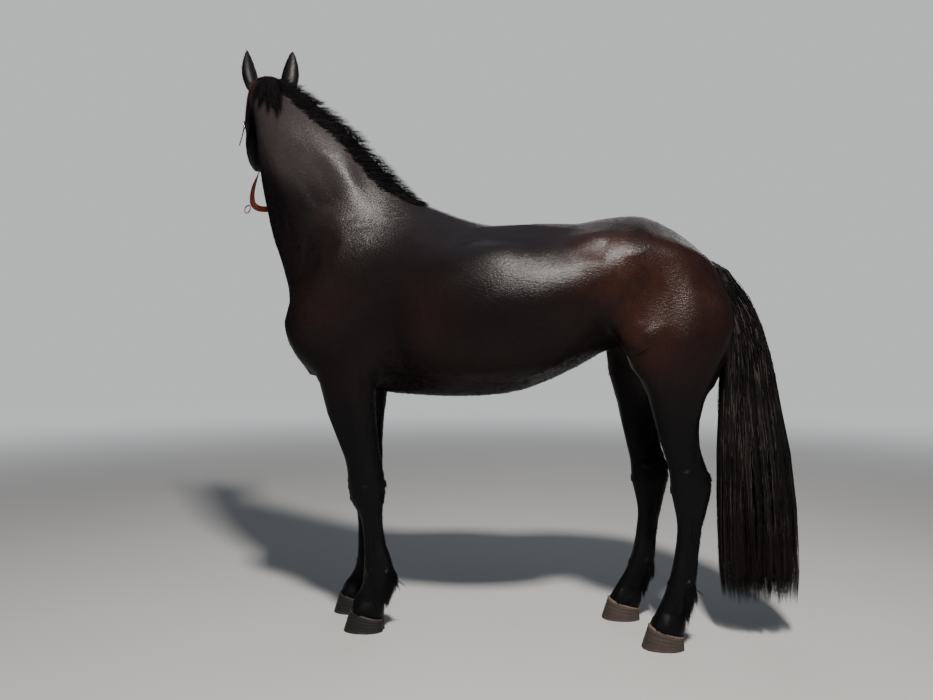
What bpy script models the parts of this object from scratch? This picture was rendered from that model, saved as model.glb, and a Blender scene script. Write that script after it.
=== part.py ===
"""A still, life-size model of a dark stallion, standing, looking back to its right.

The horse faces -Y, its left side is +X and up is +Z. The origin is on the floor, under
the middle of the model's bounding box. Lengths are metres. The body is lofted from named
sections, swelled with muscle masses and fused, then parted with thin cuts into the nodes
that carry its names.
"""

import math

import bmesh
import bpy
from mathutils import Matrix, Vector
from mathutils.bvhtree import BVHTree

# ----------------------------------------------------------------- driving sizes
WITHERS_HEIGHT = 1.605          # top of the withers above the floor
CROUP_HEIGHT = 1.532
BELLY_HEIGHT = 0.868            # girth, just behind the forelegs
HEAD_LENGTH = 0.62              # poll to the tip of the upper lip
POLL = Vector((-0.190, -0.969, 2.176))
HEAD_YAW = math.radians(76.0)   # the head is turned this far to the right of straight ahead
HEAD_DIP = math.radians(40.0)   # the line of the face below the horizontal
EYE_RADIUS = 0.0235
EYE_PLACE = (0.222, -0.054, 0.0775)     # along the face, off the face line, to the left
EAR_HEIGHT = 0.157
EAR_WIDTH = 0.072
EAR_WALL = 0.0045
HOOF_TOE_HEIGHT = 0.080
HOOF_HEEL_HEIGHT = 0.043
TAIL_TIP_HEIGHT = 0.115

EAR_FOOT = (0.034, -0.004)      # along and off the face line
# Each ear: place from the middle line, how far its cup opens outwards, then its lean
# away from the other ear and towards the nose.
EARS = {"left": (0.070, 1.35, 0.20, 0.10), "right": (0.078, 0.20, 0.14, 0.06)}
HOOF_SPREAD = 0.026             # growth of the horn from the coronet to the ground
HOOF_SIDE_SPREAD = 0.009
HOOF_HEEL_SPREAD = 0.004
CREST_HALF_WIDTH = 0.052        # most the mane grows out from, to either side
MANE_RISE = 0.024               # hair above the crest
MANE_NEAR_REACH = 0.075         # hair down the left side of the crest
MANE_FAR_REACH = 0.170          # hair down the right side
STRAP_WIDTH = 0.022
STRAP_END_WIDTH = 0.018
CHIN_STRAP_WIDTH = 0.027
STRAP_THICKNESS = 0.0035
STRAP_HEIGHT = 0.0045           # middle of a strap above the skin
RING_RADIUS = 0.018
RING_WIRE = 0.0028
RING_PLACE = (0.385, -0.095)    # along and off the face line
BUCKLE_RADIUS = 0.015
BUCKLE_WIRE = 0.0022
BUCKLE_PLACE = (0.165, -0.101)
CHIN_RING = Vector((-0.372, -1.120, 1.690))
CHIN_PATH = (
    Vector((-0.386, -1.116, 1.765)),
    Vector((-0.376, -1.118, 1.715)),
    Vector((-0.376, -1.110, 1.684)),
    Vector((-0.386, -1.080, 1.668)),
    Vector((-0.415, -1.025, 1.678)),
    Vector((-0.438, -0.975, 1.722)),
    Vector((-0.448, -0.955, 1.785)),
)
CHIN_RING_GAP = 0.010
# How far each stop of the chin strap is twisted to face the direction below.
CHIN_TWIST = (0.0, 0.30, 0.45, 0.70, 0.85, 0.75, 0.45, 0.20, 0.0)
TWIST_TOWARDS = Vector((0.96, 0.10, 0.25))
# The headpiece's run: along and off the face line, then degrees from the left round the head.
CHEEK_LINE = (
    (0.345, -0.092, 0), (0.300, -0.097, 0), (0.255, -0.102, 0), (0.205, -0.104, 0),
    (0.160, -0.100, 0), (0.115, -0.092, 2), (0.070, -0.082, 6), (0.030, -0.074, 18),
    (0.002, -0.066, 38), (-0.012, -0.060, 64),
)
CROWN_TOP = (-0.016, -0.058)

CUT = 0.0004                    # width of the thin cuts between nodes
CLEAR = 0.0013                  # gap between a laid-on piece and the body under it
STRAP_CLEAR = 0.0025            # gap between the crown strap and the hair over it
SKIN_VOXEL = 0.0085
HAIR_VOXEL = 0.006
MANE_TRIANGLES = 300
SKIN_SMOOTHING = 7
TORSO_SMOOTHING = 80
FINE_TRIANGLES = 7000           # the whole body at the head's fineness
BODY_TRIANGLES = 3700
SIDES = {"left": 1.0, "right": -1.0}

UPPER_LEG_HEIGHT = 0.85         # below this the legs grow narrower behind than in front
BACKWARD = Vector((0.0, 1.0, 0.0))
SIDEWAYS = Vector((1.0, 0.0, 0.0))
UPWARD = Vector((0.0, 0.0, 1.0))

# Hooves: front and back at the coronet, sideways place, half width.
HOOVES = {"fore": (-0.537, -0.410, 0.102, 0.051), "hind": (0.546, 0.668, 0.150, 0.049)}
HOOF_LEVEL = 0.06               # height at which a hoof takes its leg's stagger

# The legs are staggered: the right pair stands further forward than the left pair.
FORE_STAGGER = ((1.05, 0.0), (0.50, -0.072), (0.20, -0.082), (0.0, -0.105))
HIND_STAGGER = ((1.25, 0.0), (0.95, -0.085), (0.60, -0.112), (0.20, -0.112), (0.0, -0.128))

# ----------------------------------------------------------------- section tables
# Trunk: y, top, bottom, half widths near the top, at the middle and low down.
TRUNK = (
    (-0.772, 1.300, 1.110, 0.050, 0.080, 0.060),
    (-0.748, 1.370, 1.020, 0.095, 0.135, 0.100),
    (-0.700, 1.430, 0.955, 0.125, 0.175, 0.135),
    (-0.640, 1.490, 0.914, 0.140, 0.200, 0.155),
    (-0.520, 1.550, 0.890, 0.125, 0.214, 0.180),
    (-0.400, 1.590, 0.876, 0.090, 0.232, 0.205),
    (-0.290, WITHERS_HEIGHT, BELLY_HEIGHT, 0.085, 0.256, 0.228),
    (-0.180, 1.562, 0.865, 0.125, 0.276, 0.250),
    (-0.050, 1.516, 0.868, 0.180, 0.296, 0.262),
    (0.100, 1.502, 0.890, 0.205, 0.304, 0.262),
    (0.220, 1.504, 0.938, 0.210, 0.298, 0.240),
    (0.330, 1.514, 0.990, 0.205, 0.284, 0.210),
    (0.440, 1.530, 1.048, 0.190, 0.268, 0.190),
    (0.530, CROUP_HEIGHT, 1.046, 0.175, 0.254, 0.180),
    (0.630, 1.490, 1.030, 0.150, 0.234, 0.170),
    (0.720, 1.424, 1.030, 0.120, 0.200, 0.150),
    (0.790, 1.350, 1.050, 0.085, 0.150, 0.120),
    (0.838, 1.260, 1.120, 0.045, 0.075, 0.060),
)
# Neck: crest (y, z), throat (y, z), sideways shift at the crest and throat, half widths.
NECK = (
    (-0.230, 1.560, -0.640, 1.020, 0.000, 0.000, 0.095, 0.200, 0.180),
    (-0.330, 1.630, -0.745, 1.130, 0.000, 0.000, 0.068, 0.186, 0.178),
    (-0.415, 1.714, -0.796, 1.245, 0.000, 0.000, 0.058, 0.160, 0.164),
    (-0.500, 1.804, -0.833, 1.360, 0.000, 0.004, 0.054, 0.137, 0.145),
    (-0.580, 1.890, -0.868, 1.475, -0.002, 0.012, 0.051, 0.119, 0.126),
    (-0.665, 1.962, -0.895, 1.590, -0.010, 0.020, 0.049, 0.106, 0.109),
    (-0.750, 2.032, -0.914, 1.700, -0.032, 0.022, 0.048, 0.096, 0.096),
    (-0.830, 2.088, -0.926, 1.805, -0.072, 0.012, 0.048, 0.088, 0.085),
    (-0.900, 2.128, -0.932, 1.900, -0.126, -0.022, 0.050, 0.078, 0.074),
    (-0.952, 2.148, -0.948, 1.985, -0.185, -0.090, 0.050, 0.070, 0.068),
)
# Head: along the face, face line, jaw line, half widths high, middle and low.
HEAD = (
    (-0.018, -0.030, -0.080, 0.030, 0.038, 0.034),
    (0.000, -0.008, -0.110, 0.048, 0.058, 0.050),
    (0.035, 0.004, -0.150, 0.062, 0.078, 0.060),
    (0.085, 0.010, -0.195, 0.073, 0.090, 0.066),
    (0.145, 0.012, -0.232, 0.084, 0.100, 0.068),
    (0.200, 0.010, -0.256, 0.087, 0.102, 0.066),
    (0.260, 0.005, -0.258, 0.072, 0.090, 0.060),
    (0.320, 0.003, -0.230, 0.056, 0.075, 0.052),
    (0.380, 0.003, -0.192, 0.044, 0.060, 0.043),
    (0.440, 0.002, -0.162, 0.037, 0.050, 0.037),
    (0.490, 0.000, -0.146, 0.036, 0.046, 0.034),
    (0.540, -0.003, -0.142, 0.040, 0.051, 0.036),
    (0.580, -0.012, -0.134, 0.040, 0.052, 0.036),
    (0.606, -0.030, -0.112, 0.030, 0.042, 0.028),
    (HEAD_LENGTH, -0.060, -0.092, 0.013, 0.018, 0.013),
)
# Legs: height, front, back, sideways place, half width.
FORELEG = (
    (1.160, -0.685, -0.440, 0.140, 0.075),
    (1.060, -0.690, -0.425, 0.150, 0.088),
    (0.980, -0.664, -0.424, 0.152, 0.086),
    (0.920, -0.643, -0.428, 0.150, 0.080),
    (0.860, -0.626, -0.430, 0.147, 0.071),
    (0.800, -0.612, -0.430, 0.142, 0.062),
    (0.720, -0.582, -0.423, 0.135, 0.053),
    (0.650, -0.556, -0.416, 0.128, 0.046),
    (0.600, -0.546, -0.410, 0.124, 0.044),
    (0.555, -0.540, -0.404, 0.120, 0.047),
    (0.515, -0.538, -0.401, 0.117, 0.049),
    (0.475, -0.529, -0.408, 0.114, 0.044),
    (0.440, -0.508, -0.412, 0.111, 0.035),
    (0.390, -0.494, -0.410, 0.108, 0.029),
    (0.325, -0.489, -0.400, 0.106, 0.027),
    (0.270, -0.488, -0.384, 0.105, 0.031),
    (0.225, -0.488, -0.369, 0.104, 0.038),
    (0.190, -0.490, -0.368, 0.103, 0.038),
    (0.150, -0.503, -0.383, 0.103, 0.033),
    (0.115, -0.519, -0.396, 0.102, 0.036),
    (0.085, -0.533, -0.408, 0.102, 0.048),
    (0.050, -0.542, -0.412, 0.102, 0.053),
    (0.030, -0.542, -0.412, 0.102, 0.051),
)
HINDLEG = (
    (1.320, 0.540, 0.740, 0.120, 0.050),
    (1.250, 0.480, 0.810, 0.142, 0.090),
    (1.160, 0.448, 0.840, 0.158, 0.106),
    (1.070, 0.458, 0.826, 0.170, 0.108),
    (1.000, 0.486, 0.796, 0.174, 0.100),
    (0.940, 0.510, 0.768, 0.170, 0.089),
    (0.880, 0.536, 0.746, 0.163, 0.078),
    (0.820, 0.557, 0.728, 0.155, 0.068),
    (0.740, 0.577, 0.722, 0.145, 0.056),
    (0.690, 0.592, 0.728, 0.140, 0.049),
    (0.645, 0.607, 0.740, 0.136, 0.047),
    (0.600, 0.619, 0.757, 0.134, 0.048),
    (0.560, 0.621, 0.766, 0.132, 0.049),
    (0.510, 0.629, 0.753, 0.131, 0.045),
    (0.460, 0.640, 0.742, 0.131, 0.037),
    (0.410, 0.643, 0.733, 0.132, 0.031),
    (0.350, 0.639, 0.724, 0.135, 0.029),
    (0.295, 0.626, 0.717, 0.137, 0.032),
    (0.245, 0.617, 0.712, 0.140, 0.038),
    (0.200, 0.605, 0.706, 0.143, 0.039),
    (0.155, 0.586, 0.694, 0.146, 0.034),
    (0.115, 0.568, 0.680, 0.148, 0.036),
    (0.085, 0.553, 0.672, 0.150, 0.046),
    (0.050, 0.546, 0.668, 0.150, 0.051),
    (0.030, 0.546, 0.668, 0.150, 0.049),
)
# Tail: height, front edge, back edge, half width.
TAIL = (
    (1.400, 0.700, 0.790, 0.022),
    (1.385, 0.725, 0.822, 0.034),
    (1.340, 0.760, 0.862, 0.042),
    (1.260, 0.800, 0.905, 0.050),
    (1.150, 0.835, 0.952, 0.058),
    (1.020, 0.826, 0.990, 0.066),
    (0.860, 0.812, 1.026, 0.074),
    (0.670, 0.804, 1.064, 0.082),
    (0.480, 0.804, 1.086, 0.086),
    (0.300, 0.808, 1.094, 0.086),
    (0.190, 0.812, 1.096, 0.082),
    (TAIL_TIP_HEIGHT, 0.822, 1.090, 0.074),
)

# The lock that falls behind the left ear: place, half width.
POLL_LOCK = (
    ((-0.150, -0.950, 2.190), 0.035),
    ((-0.078, -0.946, 2.152), 0.050),
    ((-0.022, -0.925, 2.095), 0.055),
    ((0.014, -0.900, 2.035), 0.045),
    ((0.036, -0.880, 1.975), 0.022),
)
LOCK_HALF_DEPTH = 0.016

COLLECTION = "still_horse"


# ----------------------------------------------------------------- scene helpers
def clear_scene():
    for item in list(bpy.data.objects):
        bpy.data.objects.remove(item, do_unlink=True)
    group = bpy.data.collections.new(COLLECTION)
    bpy.context.scene.collection.children.link(group)
    return group


GROUP = clear_scene()


def make_material(name, colour, roughness, metallic=0.0):
    """A Principled material of one colour."""
    material = bpy.data.materials.new(name)
    material.use_nodes = True
    shader = material.node_tree.nodes["Principled BSDF"]
    shader.inputs["Base Color"].default_value = (*colour, 1.0)
    shader.inputs["Roughness"].default_value = roughness
    shader.inputs["Metallic"].default_value = metallic
    material.diffuse_color = (*colour, 1.0)
    return material


COAT = make_material("coat", (0.030, 0.018, 0.014), 0.42)
HAIR = make_material("hair", (0.012, 0.010, 0.010), 0.50)
HORN = make_material("horn", (0.070, 0.060, 0.052), 0.60)
HORN_PALE = make_material("horn_pale", (0.200, 0.140, 0.100), 0.60)
EYE = make_material("eye", (0.015, 0.008, 0.005), 0.08)
LEATHER = make_material("leather", (0.110, 0.030, 0.018), 0.45)
BRIGHT_LEATHER = make_material("bright_leather", (0.400, 0.060, 0.025), 0.45)
METAL = make_material("metal", (0.75, 0.72, 0.66), 0.25, 1.0)


def new_object(name, mesh, material=None):
    """Link a mesh as a named object with its own material."""
    item = bpy.data.objects.new(name, mesh)
    GROUP.objects.link(item)
    if material is not None:
        mesh.materials.clear()
        mesh.materials.append(material)
    return item


def mesh_from_bmesh(name, shape):
    bmesh.ops.recalc_face_normals(shape, faces=shape.faces)
    mesh = bpy.data.meshes.new(name)
    shape.to_mesh(mesh)
    shape.free()
    return mesh


def evaluated_mesh(item):
    """The mesh of an object with its modifiers applied."""
    bpy.context.view_layer.update()
    graph = bpy.context.evaluated_depsgraph_get()
    return bpy.data.meshes.new_from_object(item.evaluated_get(graph))


def bake_modifiers(item):
    """Replace an object's mesh with its evaluated mesh."""
    mesh = evaluated_mesh(item)
    item.modifiers.clear()
    item.data = mesh
    return item


def remove(*items):
    for item in items:
        bpy.data.objects.remove(item, do_unlink=True)


def joined(name, items):
    """One object that holds the meshes of several, which are removed."""
    shape = bmesh.new()
    for item in items:
        mesh = item.data.copy()
        mesh.transform(item.matrix_world)
        shape.from_mesh(mesh)
    mesh = bpy.data.meshes.new(name)
    shape.to_mesh(mesh)
    shape.free()
    remove(*items)
    return new_object(name, mesh)


def boolean(item, cutter, operation="DIFFERENCE"):
    """Apply an exact Boolean and remove the cutter."""
    step = item.modifiers.new("boolean", "BOOLEAN")
    step.object = cutter
    step.operation = operation
    bake_modifiers(item)
    remove(cutter)
    return item


# ----------------------------------------------------------------- shape helpers
def between(table, place):
    """Read a table of (place, value) pairs, in any order of place, by straight runs."""
    rows = sorted(table)
    if place <= rows[0][0]:
        return rows[0][1]
    for (low, first), (high, second) in zip(rows, rows[1:]):
        if place <= high:
            return first + (second - first) * (place - low) / (high - low)
    return rows[-1][1]


def refined(table, steps=3):
    """The rows of a table with more between them, on a smooth curve through each column."""
    rows = []
    for index in range(len(table) - 1):
        before = table[max(index - 1, 0)]
        start, end = table[index], table[index + 1]
        after = table[min(index + 2, len(table) - 1)]
        for step in range(steps):
            t = step / steps
            row = []
            for a, b, c, d in zip(before, start, end, after):
                bend = (2 * a - 5 * b + 4 * c - d) * t * t + (3 * b - a - 3 * c + d) * t ** 3
                row.append(b + ((c - a) * t + bend) / 2.0)
            rows.append(tuple(row))
    rows.append(tuple(table[-1]))
    return rows


def ring(top, bottom, side, widths, count=20, squareness=0.86):
    """A closed section from top to bottom, its half width given high, midway and low."""
    high, middle, low = widths
    points = []
    for index in range(count):
        angle = 2.0 * math.pi * index / count
        drop = (1.0 - math.cos(angle)) / 2.0
        width = (
            high * (1.0 - drop) * (1.0 - 2.0 * drop)
            + 4.0 * middle * drop * (1.0 - drop)
            + low * drop * (2.0 * drop - 1.0)
        )
        reach = math.copysign(abs(math.sin(angle)) ** squareness, math.sin(angle))
        points.append(top.lerp(bottom, drop) + side * (reach * width))
    return points


def slab_ring(centre, along, across, half_along, half_across, count=16, squareness=0.9, taper=0.0):
    """A rounded section with two half sizes, narrowed by the taper towards the end of along."""
    points = []
    for index in range(count):
        angle = 2.0 * math.pi * index / count
        first = math.copysign(abs(math.cos(angle)) ** squareness, math.cos(angle))
        second = math.copysign(abs(math.sin(angle)) ** squareness, math.sin(angle))
        width = half_across * (1.0 - taper * first)
        points.append(centre + along * (half_along * first) + across * (width * second))
    return points


def loft(name, rings, material=None):
    """Skin a run of rings of one count and close both ends."""
    shape = bmesh.new()
    rows = [[shape.verts.new(point) for point in points] for points in rings]
    count = len(rows[0])
    for first, second in zip(rows, rows[1:]):
        for index in range(count):
            after = (index + 1) % count
            shape.faces.new((first[index], first[after], second[after], second[index]))
    for row in (rows[0], rows[-1]):
        middle = shape.verts.new(sum((vert.co for vert in row), Vector()) / count)
        for index in range(count):
            shape.faces.new((row[index], row[(index + 1) % count], middle))
    return new_object(name, mesh_from_bmesh(name, shape), material)


def ellipsoid(name, centre, radii, turn=None):
    """A stretched sphere, turned before it is placed."""
    shape = bmesh.new()
    bmesh.ops.create_uvsphere(shape, u_segments=20, v_segments=12, radius=1.0)
    matrix = Matrix.Diagonal((*radii, 1.0))
    if turn is not None:
        matrix = turn.to_4x4() @ matrix
    bmesh.ops.transform(shape, matrix=Matrix.Translation(centre) @ matrix, verts=shape.verts)
    return new_object(name, mesh_from_bmesh(name, shape))


def aim(direction):
    """The rotation that lays local X along a direction."""
    return Vector(direction).to_track_quat("X", "Z").to_matrix()


def muscle(name, start, end, thickness, depth):
    """A spindle from one point to another."""
    start, end = Vector(start), Vector(end)
    length = (end - start).length / 2.0
    return ellipsoid(name, (start + end) / 2.0, (length, thickness, depth), aim(end - start))


# ----------------------------------------------------------------- head frame
HEADING = Vector((-math.sin(HEAD_YAW), -math.cos(HEAD_YAW), 0.0))
FACE_ALONG = HEADING * math.cos(HEAD_DIP) + Vector((0.0, 0.0, -math.sin(HEAD_DIP)))
FACE_UP = HEADING * math.sin(HEAD_DIP) + Vector((0.0, 0.0, math.cos(HEAD_DIP)))
FACE_LEFT = Vector((-HEADING.y, HEADING.x, 0.0))
HEAD_TURN = Matrix((FACE_ALONG, FACE_UP, FACE_LEFT)).transposed()


def on_head(along, up, left):
    """A point of the head, from its place along, above and left of the face line."""
    return POLL + FACE_ALONG * along + FACE_UP * up + FACE_LEFT * left


# ----------------------------------------------------------------- body masses
def trunk_loft():
    rings = []
    for y, top, bottom, *widths in refined(TRUNK):
        rings.append(ring(Vector((0, y, top)), Vector((0, y, bottom)), Vector((1, 0, 0)), widths, 28))
    return loft("trunk_loft", rings)


def neck_loft():
    """The neck bends to the right as it rises, so each section turns with it."""
    middles = []
    for row in refined(NECK):
        crest = Vector((row[4], row[0], row[1]))
        throat = Vector((row[5], row[2], row[3]))
        middles.append((crest, throat, row[6:9]))
    rings = []
    for index, (crest, throat, widths) in enumerate(middles):
        before = middles[max(index - 1, 0)]
        after = middles[min(index + 1, len(middles) - 1)]
        run = (after[0] + after[1] - before[0] - before[1]).normalized()
        side = run.cross(throat - crest).normalized()
        rings.append(ring(crest, throat, side, widths, 24))
    return loft("neck_loft", rings)


def head_loft():
    rings = []
    for along, top, bottom, *widths in refined(HEAD):
        rings.append(ring(on_head(along, top, 0), on_head(along, bottom, 0), FACE_LEFT, widths, 24))
    return loft("head_loft", rings)


def head_masses():
    """Cheeks, brows, face crests, nostrils, lips and chin."""
    masses = []
    for side in SIDES.values():
        parts = (
            ("cheek", (0.228, -0.170, 0.063), (0.116, 0.090, 0.040)),
            ("brow", (0.206, -0.036, 0.070), (0.046, 0.024, 0.020)),
            ("temple", (0.120, -0.040, 0.062), (0.060, 0.034, 0.026)),
            ("nostril", (0.556, -0.040, 0.037), (0.036, 0.028, 0.020)),
        )
        for name, place, radii in parts:
            centre = on_head(place[0], place[1], place[2] * side)
            masses.append(ellipsoid(name, centre, radii, HEAD_TURN))
        start = on_head(0.235, -0.092, 0.084 * side)
        end = on_head(0.415, -0.072, 0.046 * side)
        masses.append(muscle("face_crest", start, end, 0.016, 0.016))
    masses.append(ellipsoid("upper_lip", on_head(0.592, -0.078, 0.0), (0.028, 0.034, 0.040), HEAD_TURN))
    masses.append(ellipsoid("lower_lip", on_head(0.572, -0.126, 0.0), (0.032, 0.018, 0.031), HEAD_TURN))
    masses.append(ellipsoid("chin", on_head(0.540, -0.140, 0.0), (0.034, 0.018, 0.028), HEAD_TURN))
    return masses


def body_masses():
    """Muscle masses that both sides share."""
    masses = []
    for side in SIDES.values():
        parts = (
            ("blade_front", (0.060, -0.410, 1.560), (0.160, -0.755, 1.165), 0.052, 0.080),
            ("blade_back", (0.085, -0.330, 1.500), (0.180, -0.730, 1.110), 0.062, 0.095),
            ("triceps", (0.120, -0.330, 1.380), (0.185, -0.540, 0.930), 0.078, 0.130),
            ("upper_arm", (0.135, -0.765, 1.200), (0.150, -0.540, 0.930), 0.078, 0.095),
            ("breast", (0.050, -0.752, 1.330), (0.080, -0.675, 0.930), 0.082, 0.062),
            ("brisket", (0.040, -0.690, 0.965), (0.050, -0.440, 0.912), 0.070, 0.040),
            ("neck_band", (0.030, -0.866, 1.760), (0.125, -0.700, 1.180), 0.054, 0.060),
            ("neck_side", (0.000, -0.810, 1.950), (0.085, -0.480, 1.360), 0.068, 0.140),
            ("ribs", (0.165, -0.420, 1.150), (0.165, 0.420, 1.200), 0.142, 0.255),
            ("loin", (0.075, -0.200, 1.450), (0.080, 0.440, 1.455), 0.060, 0.048),
            ("rump", (0.105, 0.260, 1.400), (0.115, 0.790, 1.270), 0.138, 0.130),
            ("hip_point", (0.178, 0.270, 1.415), (0.180, 0.480, 1.380), 0.054, 0.060),
            ("thigh_front", (0.200, 0.370, 1.420), (0.185, 0.560, 0.960), 0.058, 0.085),
            ("thigh_back", (0.135, 0.580, 1.430), (0.170, 0.660, 0.880), 0.104, 0.140),
            ("buttock", (0.085, 0.740, 1.380), (0.140, 0.736, 0.880), 0.086, 0.086),
            ("inner_thigh", (0.070, 0.560, 1.200), (0.110, 0.640, 0.900), 0.060, 0.120),
            ("stifle", (0.190, 0.480, 1.080), (0.185, 0.560, 0.930), 0.055, 0.052),
        )
        for name, start, end, thickness, depth in parts:
            first = Vector((start[0] * side, start[1], start[2]))
            second = Vector((end[0] * side, end[1], end[2]))
            masses.append(muscle(name, first, second, thickness, depth))
    return masses


def leg_loft(table, side, stagger):
    """A leg as level slices, narrower in front than behind on the cannon."""
    rings = []
    for height, front, back, place, half_width in refined(table):
        shift = between(stagger, height) if side < 0 else 0.0
        centre = Vector((place * side, (front + back) / 2.0 + shift, height))
        half_length = (back - front) / 2.0
        taper = 0.22 * min(max((UPPER_LEG_HEIGHT - height) / 0.25, 0.0), 1.0)
        rings.append(slab_ring(centre, BACKWARD, SIDEWAYS, half_length, half_width, 18, taper=taper))
    return loft("leg_loft", rings)


def torso_share(place):
    """How far a point belongs to the torso, whose muscles run softly into one another."""
    above_legs = min(max((place.z - 0.88) / 0.12, 0.0), 1.0)
    behind_head = min(max(((place - POLL).length - 0.22) / 0.15, 0.0), 1.0)
    return above_legs * behind_head


def fused_body():
    """Every flesh mass as one closed skin."""
    masses = [trunk_loft(), neck_loft(), head_loft()] + head_masses() + body_masses()
    for side in SIDES.values():
        masses.append(leg_loft(FORELEG, side, FORE_STAGGER))
        masses.append(leg_loft(HINDLEG, side, HIND_STAGGER))
    body = joined("body", masses)
    remesh = body.modifiers.new("remesh", "REMESH")
    remesh.mode = "VOXEL"
    remesh.voxel_size = SKIN_VOXEL
    smooth = body.modifiers.new("smooth", "SMOOTH")
    smooth.factor = 0.5
    smooth.iterations = SKIN_SMOOTHING
    bake_modifiers(body)
    torso = body.vertex_groups.new(name="torso")
    for vertex in body.data.vertices:
        torso.add([vertex.index], torso_share(vertex.co), "REPLACE")
    blend = body.modifiers.new("blend", "SMOOTH")
    blend.factor = 0.5
    blend.iterations = TORSO_SMOOTHING
    blend.vertex_group = torso.name
    return bake_modifiers(body)


# ----------------------------------------------------------------- parting the body
def slab(name, first, second, across, half_width, margin):
    """A thin cutter through two points, as wide as asked along the across direction."""
    first, second = Vector(first), Vector(second)
    along = (second - first).normalized()
    across = Vector(across).normalized()
    normal = along.cross(across).normalized()
    turn = Matrix((along, across, normal)).transposed()
    shape = bmesh.new()
    bmesh.ops.create_cube(shape, size=1.0)
    size = ((second - first).length + 2.0 * margin, 2.0 * half_width, CUT)
    matrix = Matrix.Translation((first + second) / 2.0) @ turn.to_4x4() @ Matrix.Diagonal((*size, 1.0))
    bmesh.ops.transform(shape, matrix=matrix, verts=shape.verts)
    return new_object(name, mesh_from_bmesh(name, shape))


def thinned(item, triangles, group=None):
    """Collapse a mesh to about this many triangles, in a vertex group if one is named."""
    item.data.calc_loop_triangles()
    step = item.modifiers.new("thin", "DECIMATE")
    step.ratio = triangles / len(item.data.loop_triangles)
    if group is not None:
        step.vertex_group = group
    return bake_modifiers(item)


def loose_parts(item):
    """Split a mesh into its separate bodies, largest first."""
    shape = bmesh.new()
    shape.from_mesh(item.data)
    left = set(shape.verts)
    pieces = []
    while left:
        stack = [left.pop()]
        members = set(stack)
        while stack:
            for edge in stack.pop().link_edges:
                for vert in edge.verts:
                    if vert not in members:
                        members.add(vert)
                        stack.append(vert)
        left -= members
        pieces.append(members)
    meshes = []
    for members in sorted(pieces, key=len, reverse=True):
        index = {vert: number for number, vert in enumerate(members)}
        faces = {face for vert in members for face in vert.link_faces}
        mesh = bpy.data.meshes.new("piece")
        places = [vert.co[:] for vert in members]
        mesh.from_pydata(places, [], [[index[vert] for vert in face.verts] for face in faces])
        meshes.append(mesh)
    shape.free()
    remove(item)
    return meshes


def middle_of(mesh):
    return sum((vertex.co for vertex in mesh.vertices), Vector()) / len(mesh.vertices)


def part_body(body):
    """Cut the body into named nodes, each known by the place of its middle."""
    cutters = [
        slab("cut_head", on_head(-0.020, 0.030, 0), on_head(0.076, -0.210, 0), FACE_LEFT, 0.16, 0.06),
        slab("cut_neck", (0.0, -0.360, 1.700), (0.0, -0.850, 1.150), SIDEWAYS, 0.30, 0.08),
        slab("cut_loin", (0.0, 0.330, 1.560), (0.0, 0.330, 0.950), SIDEWAYS, 0.36, 0.08),
    ]
    for side in SIDES.values():
        middle = Vector((0.155 * side, 0.0, 0.0))
        front, back = Vector((0.0, -0.700, 0.866)), Vector((0.0, -0.420, 0.846))
        cutters.append(slab("cut_fore", front + middle, back + middle, SIDEWAYS, 0.115, 0.04))
        front, back = Vector((0.0, 0.400, 0.975)), Vector((0.0, 0.840, 0.985))
        cutters.append(slab("cut_hind", front + middle, back + middle, SIDEWAYS, 0.140, 0.05))
    for cutter in cutters:
        boolean(body, cutter)
    nodes = {}
    places = {
        "head": on_head(0.28, -0.10, 0.0),
        "neck": Vector((-0.02, -0.70, 1.70)),
        "trunk": Vector((0.0, -0.30, 1.22)),
        "hindquarters": Vector((0.0, 0.55, 1.25)),
        "foreleg_left": Vector((0.12, -0.46, 0.40)),
        "foreleg_right": Vector((-0.12, -0.53, 0.40)),
        "hindleg_left": Vector((0.14, 0.67, 0.45)),
        "hindleg_right": Vector((-0.14, 0.56, 0.45)),
    }
    for mesh in loose_parts(body):
        middle = middle_of(mesh)
        name = min(places, key=lambda key: (places[key] - middle).length)
        if name not in nodes:
            nodes[name] = new_object(name, mesh, COAT)
    return nodes


def head_share(place):
    """One on the head, nought on the rest."""
    local = HEAD_TURN.transposed() @ (place - POLL)
    return 1.0 if local.x > 0.02 and (place - POLL).length < 0.72 and place.y < -0.80 else 0.0


def thin_body(body):
    """Thin the whole to the head's fineness, then the rest further."""
    thinned(body, FINE_TRIANGLES)
    body.vertex_groups.clear()
    head = body.vertex_groups.new(name="not_head")
    for vertex in body.data.vertices:
        head.add([vertex.index], 1.0 - head_share(vertex.co), "REPLACE")
    return thinned(body, BODY_TRIANGLES, head.name)


# ----------------------------------------------------------------- eyes and ears
def ball(name, centre, radius, material=None):
    shape = bmesh.new()
    bmesh.ops.create_uvsphere(shape, u_segments=14, v_segments=8, radius=radius)
    bmesh.ops.transform(shape, matrix=Matrix.Translation(centre), verts=shape.verts)
    return new_object(name, mesh_from_bmesh(name, shape), material)


def add_eyes(head):
    """Each eyeball lies in a socket that is cut a little larger."""
    along, up, left = EYE_PLACE
    for name, side in SIDES.items():
        centre = on_head(along, up, left * side)
        boolean(head, ball("socket", centre, EYE_RADIUS + CLEAR))
        ball("eye_" + name, centre, EYE_RADIUS, EYE)


def ear_half_width(share):
    """Half width of the ear from its base, nought, to its tip, one."""
    return EAR_WIDTH / 2.0 * (0.80 + 1.10 * share - 1.86 * share ** 2 + 0.06 * share ** 3)


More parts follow.
